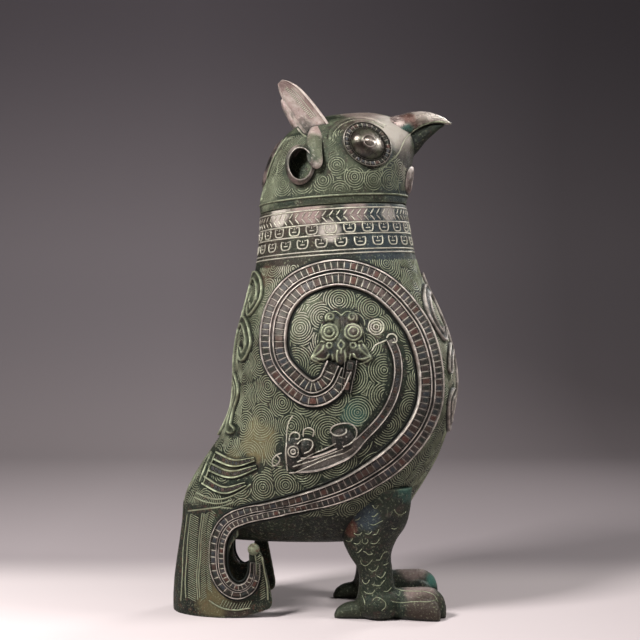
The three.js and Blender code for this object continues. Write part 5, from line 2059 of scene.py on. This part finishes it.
# The lesser serpent's cells, and its crest, head and horns.
serpentCells = {"edges": (-0.62, 0.62), "count": 34, "floor": 0.7}
quads = bandCells(serpentLine, serpentHalf, serpentCells, (0.03, 0.6))
cushionPair("SerpentCells", quads, 0.7, scaleFinish, "vessel", "brown_patina")
serpentLines = [
    [(330, 431), (333, 426.5), (343, 423.3), (351.7, 424.4), (356.5, 430), (356, 437), (351, 443),
     (343, 447)],
    [(330, 431), (334, 435), (341, 435.5), (346, 432.5), (346, 428.5)],
    [(336, 443.3), (325, 449), (314, 453.3), (301.7, 460), (297, 462)],
    [(352.8, 447.8), (342.8, 453.3), (331.7, 456.7), (318.3, 462.2), (306, 467.8), (296, 472.2), (289, 473)],
    [(292.8, 466.7), (302, 463.8), (311.7, 461), (322, 456.8), (331.7, 453.3), (343, 449)],
    ringPath(293.3, 451.7, 5.2), ringPath(293.3, 451.7, 2.4),
    [(292.8, 415.6), (289, 422), (287.2, 430), (286.7, 441), (286, 452), (286.7, 463), (287.5, 471)],
    [(303.3, 436.7), (304, 430), (309.4, 427.8), (314, 431), (312.8, 436.7)],
    [(297.2, 444.4), (300.6, 441), (306, 439.4), (311.7, 441), (312.8, 445.6), (309.4, 451), (304, 453.3)],
    [(289, 441), (290.6, 434.4), (295, 432.2), (299.4, 434.4), (299, 438.5), (295, 439)],
    [(281.7, 452.8), (276, 455.6), (272.8, 460), (273.3, 465.6), (277.2, 464.4), (280, 459), (277.2, 455.6)],
    [(386.5, 338), (389, 334.6), (393.5, 334.2), (396.5, 337.5), (396, 342), (392, 342.5)],
    [(371.7, 351), (375.5, 345), (382, 342), (387, 340)],
    ringPath(376, 327, 2.6), ringPath(376, 327, 5.2), ringPath(376, 327, 7.6),
]
flank = surfaceOf(
    "bellySkin", "tailSkin", "rightSerpentBand", "rightRumpPlumes", "rightWingBand", "rightLeg"
)
linePair("SerpentLines", seen(serpentLines, flank, 0.0, step=1.2), 0.7, paleFinish, "vessel", "brown_patina")

# Rump: outlines round the plumes, and a beaded seam above the tail.
rumpLines = [
    [(196, 492), (206, 497), (222, 499), (240, 492), (251, 484)],
    [(194, 497), (206, 502), (220, 503.5), (232, 500)],
    [(188, 511), (205, 509), (222, 506.5), (234, 502)],
]
# Tail: columns of slanted strokes either side of a groove, bending round the notch.
tailLines = [
    [(187.5, 514), (183.5, 549), (182.5, 576), (181, 601)],
    [(191, 514), (188, 540), (187, 558), (185.5, 580), (186, 598)],
    [(202.5, 513), (199.5, 536), (198.5, 558), (197, 576), (198, 600)],
    [(204.5, 513), (201.5, 536), (200.5, 558), (199, 576), (200, 598)],
    [(209, 600), (215, 604.5), (224, 608.5), (236, 610), (250, 608)],
    [(262, 556), (264, 570), (267, 584), (268, 600)], [(255, 553), (256.5, 566), (256, 578), (252, 590)],
]
tailHatch = [
    ([(195, 516), (193.4, 540), (192.8, 565), (192, 599)], 2.1, (4.2, 2.3)),
    ([(207, 514), (204.4, 526), (203.8, 545), (203.4, 570), (204, 598)], 2.1, (2.7, -1.9)),
    ([(213.5, 512), (209.8, 526), (208.9, 545), (208.6, 570), (210, 590)], 2.1, (2.3, 1.7)),
    ([(222, 603), (234, 606), (250, 604)], 2.9, (1.9, -3.6)),
    ([(259, 556), (260.5, 568), (262, 582), (263, 598)], 2.2, (2.6, -1.6)),
]
knob = makeObject("hookKnob", *ellipsoid(-69.5, -float(tailHalf(-69.5, 57)), 58, 5, 1.8, 5), lineFinish)
pairOf(knob, "HookKnob", "vessel", "green_patina")
strokes = [stroke for path, pitch, reach in tailHatch for stroke in hatch(path, pitch, reach)]
linePair("TailLines", seen(rumpLines + tailLines, flank), 0.8, lineFinish, "vessel", "green_patina")
strokes = seen(strokes, flank, 0.1, step=1.2)
linePair("TailHatch", strokes, 0.4, lineFinish, "vessel", "green_patina", sides=5)
seam = dots([(207, 462), (213, 478), (214, 494)], 2.6, 0.2)
linePair("RumpBeads", seen(seam, flank, step=0.2), 0.8, lineFinish, "vessel", "green_patina")

# Legs: scale arcs, a ring at the ankle, and ridges along the toes.
legLines = [
    [(371.5, 516), (374, 516.5), (378, 513)], [(355, 520), (358, 519.5), (360.5, 517)],
    [(370.5, 524.5), (374, 525), (379, 522.5), (383, 520.5)],
    [(353.5, 533), (357, 534.8), (360.5, 534), (362, 532)],
    [(365, 533.5), (369, 534), (372, 531)], [(373, 534.5), (376.5, 534), (379, 529)],
    [(345.5, 540), (348.5, 541.5), (351.5, 540.5), (352.5, 538)],
    [(353.5, 543), (356.5, 544), (359.5, 543), (360.5, 540)],
    [(362.5, 538.5), (362.2, 541.5), (365, 544), (368, 541.5), (367.5, 539)],
    [(370.5, 543), (374, 543.8), (377, 542.5), (379.5, 538.5)],
    [(356.5, 553), (359.5, 551.5), (362, 548.5)], [(363, 551), (366, 552.5), (369, 554.8), (373, 553.5)],
    [(383, 554), (385, 552), (387.5, 551.8)],
    [(360, 560.5), (362, 564), (365.5, 565.7), (369, 563.5), (372.5, 559.5)],
    [(376, 560), (379.5, 560), (381.5, 556.5), (383, 553.5)],
    [(368.5, 568.5), (370.5, 570.5), (373, 571.2), (376.5, 569.5), (378.5, 565.5)],
    [(383, 565), (386, 564.5), (388.5, 562.5)],
    [(362, 579), (363.5, 582.5), (365.5, 583.8), (368, 582.5), (369.5, 579.5)],
    [(376.5, 575.5), (379, 577), (381, 578), (383.5, 575.5), (385.5, 572)],
    [(372, 584.5), (377, 585.5), (379.5, 585.8), (382, 583), (384.5, 580)],
    [(364, 591), (366.5, 593), (370, 593.8), (373, 592.5), (375, 589.5)],
    [(383.5, 591), (386.5, 591.5), (390, 589), (391.5, 587)],
    [(372.5, 601), (374, 598.5), (378, 597.5), (382, 599.5), (385.5, 603), (385, 607.5), (381.5, 610.5)],
    [(394, 509), (396, 512.5), (400, 515), (405, 512.5), (406.5, 510.5)],
    [(394, 573), (396.5, 582), (401, 586), (411, 586.5), (423, 585)],
    [(395, 588), (403, 590.5), (415, 591), (425, 591.5), (434, 595), (438, 602)],
    [(392, 601.5), (401, 602.5), (415, 601.5), (429, 601.5), (437, 599.5)],
    [(362, 595), (364, 600), (365, 605)],
    [(344, 556), (348, 558)], [(391, 528), (394, 529), (397, 528)],
    [(372, 505), (375.5, 508.5), (378.5, 505)],
]
legSurface = surfaceOf("rightLeg", "bellySkin")
linePair("LegScales", seen(legLines, legSurface, -0.15), 0.46, headLineFinish, "vessel", "dark_patina")
print("flank, tail and leg details made")
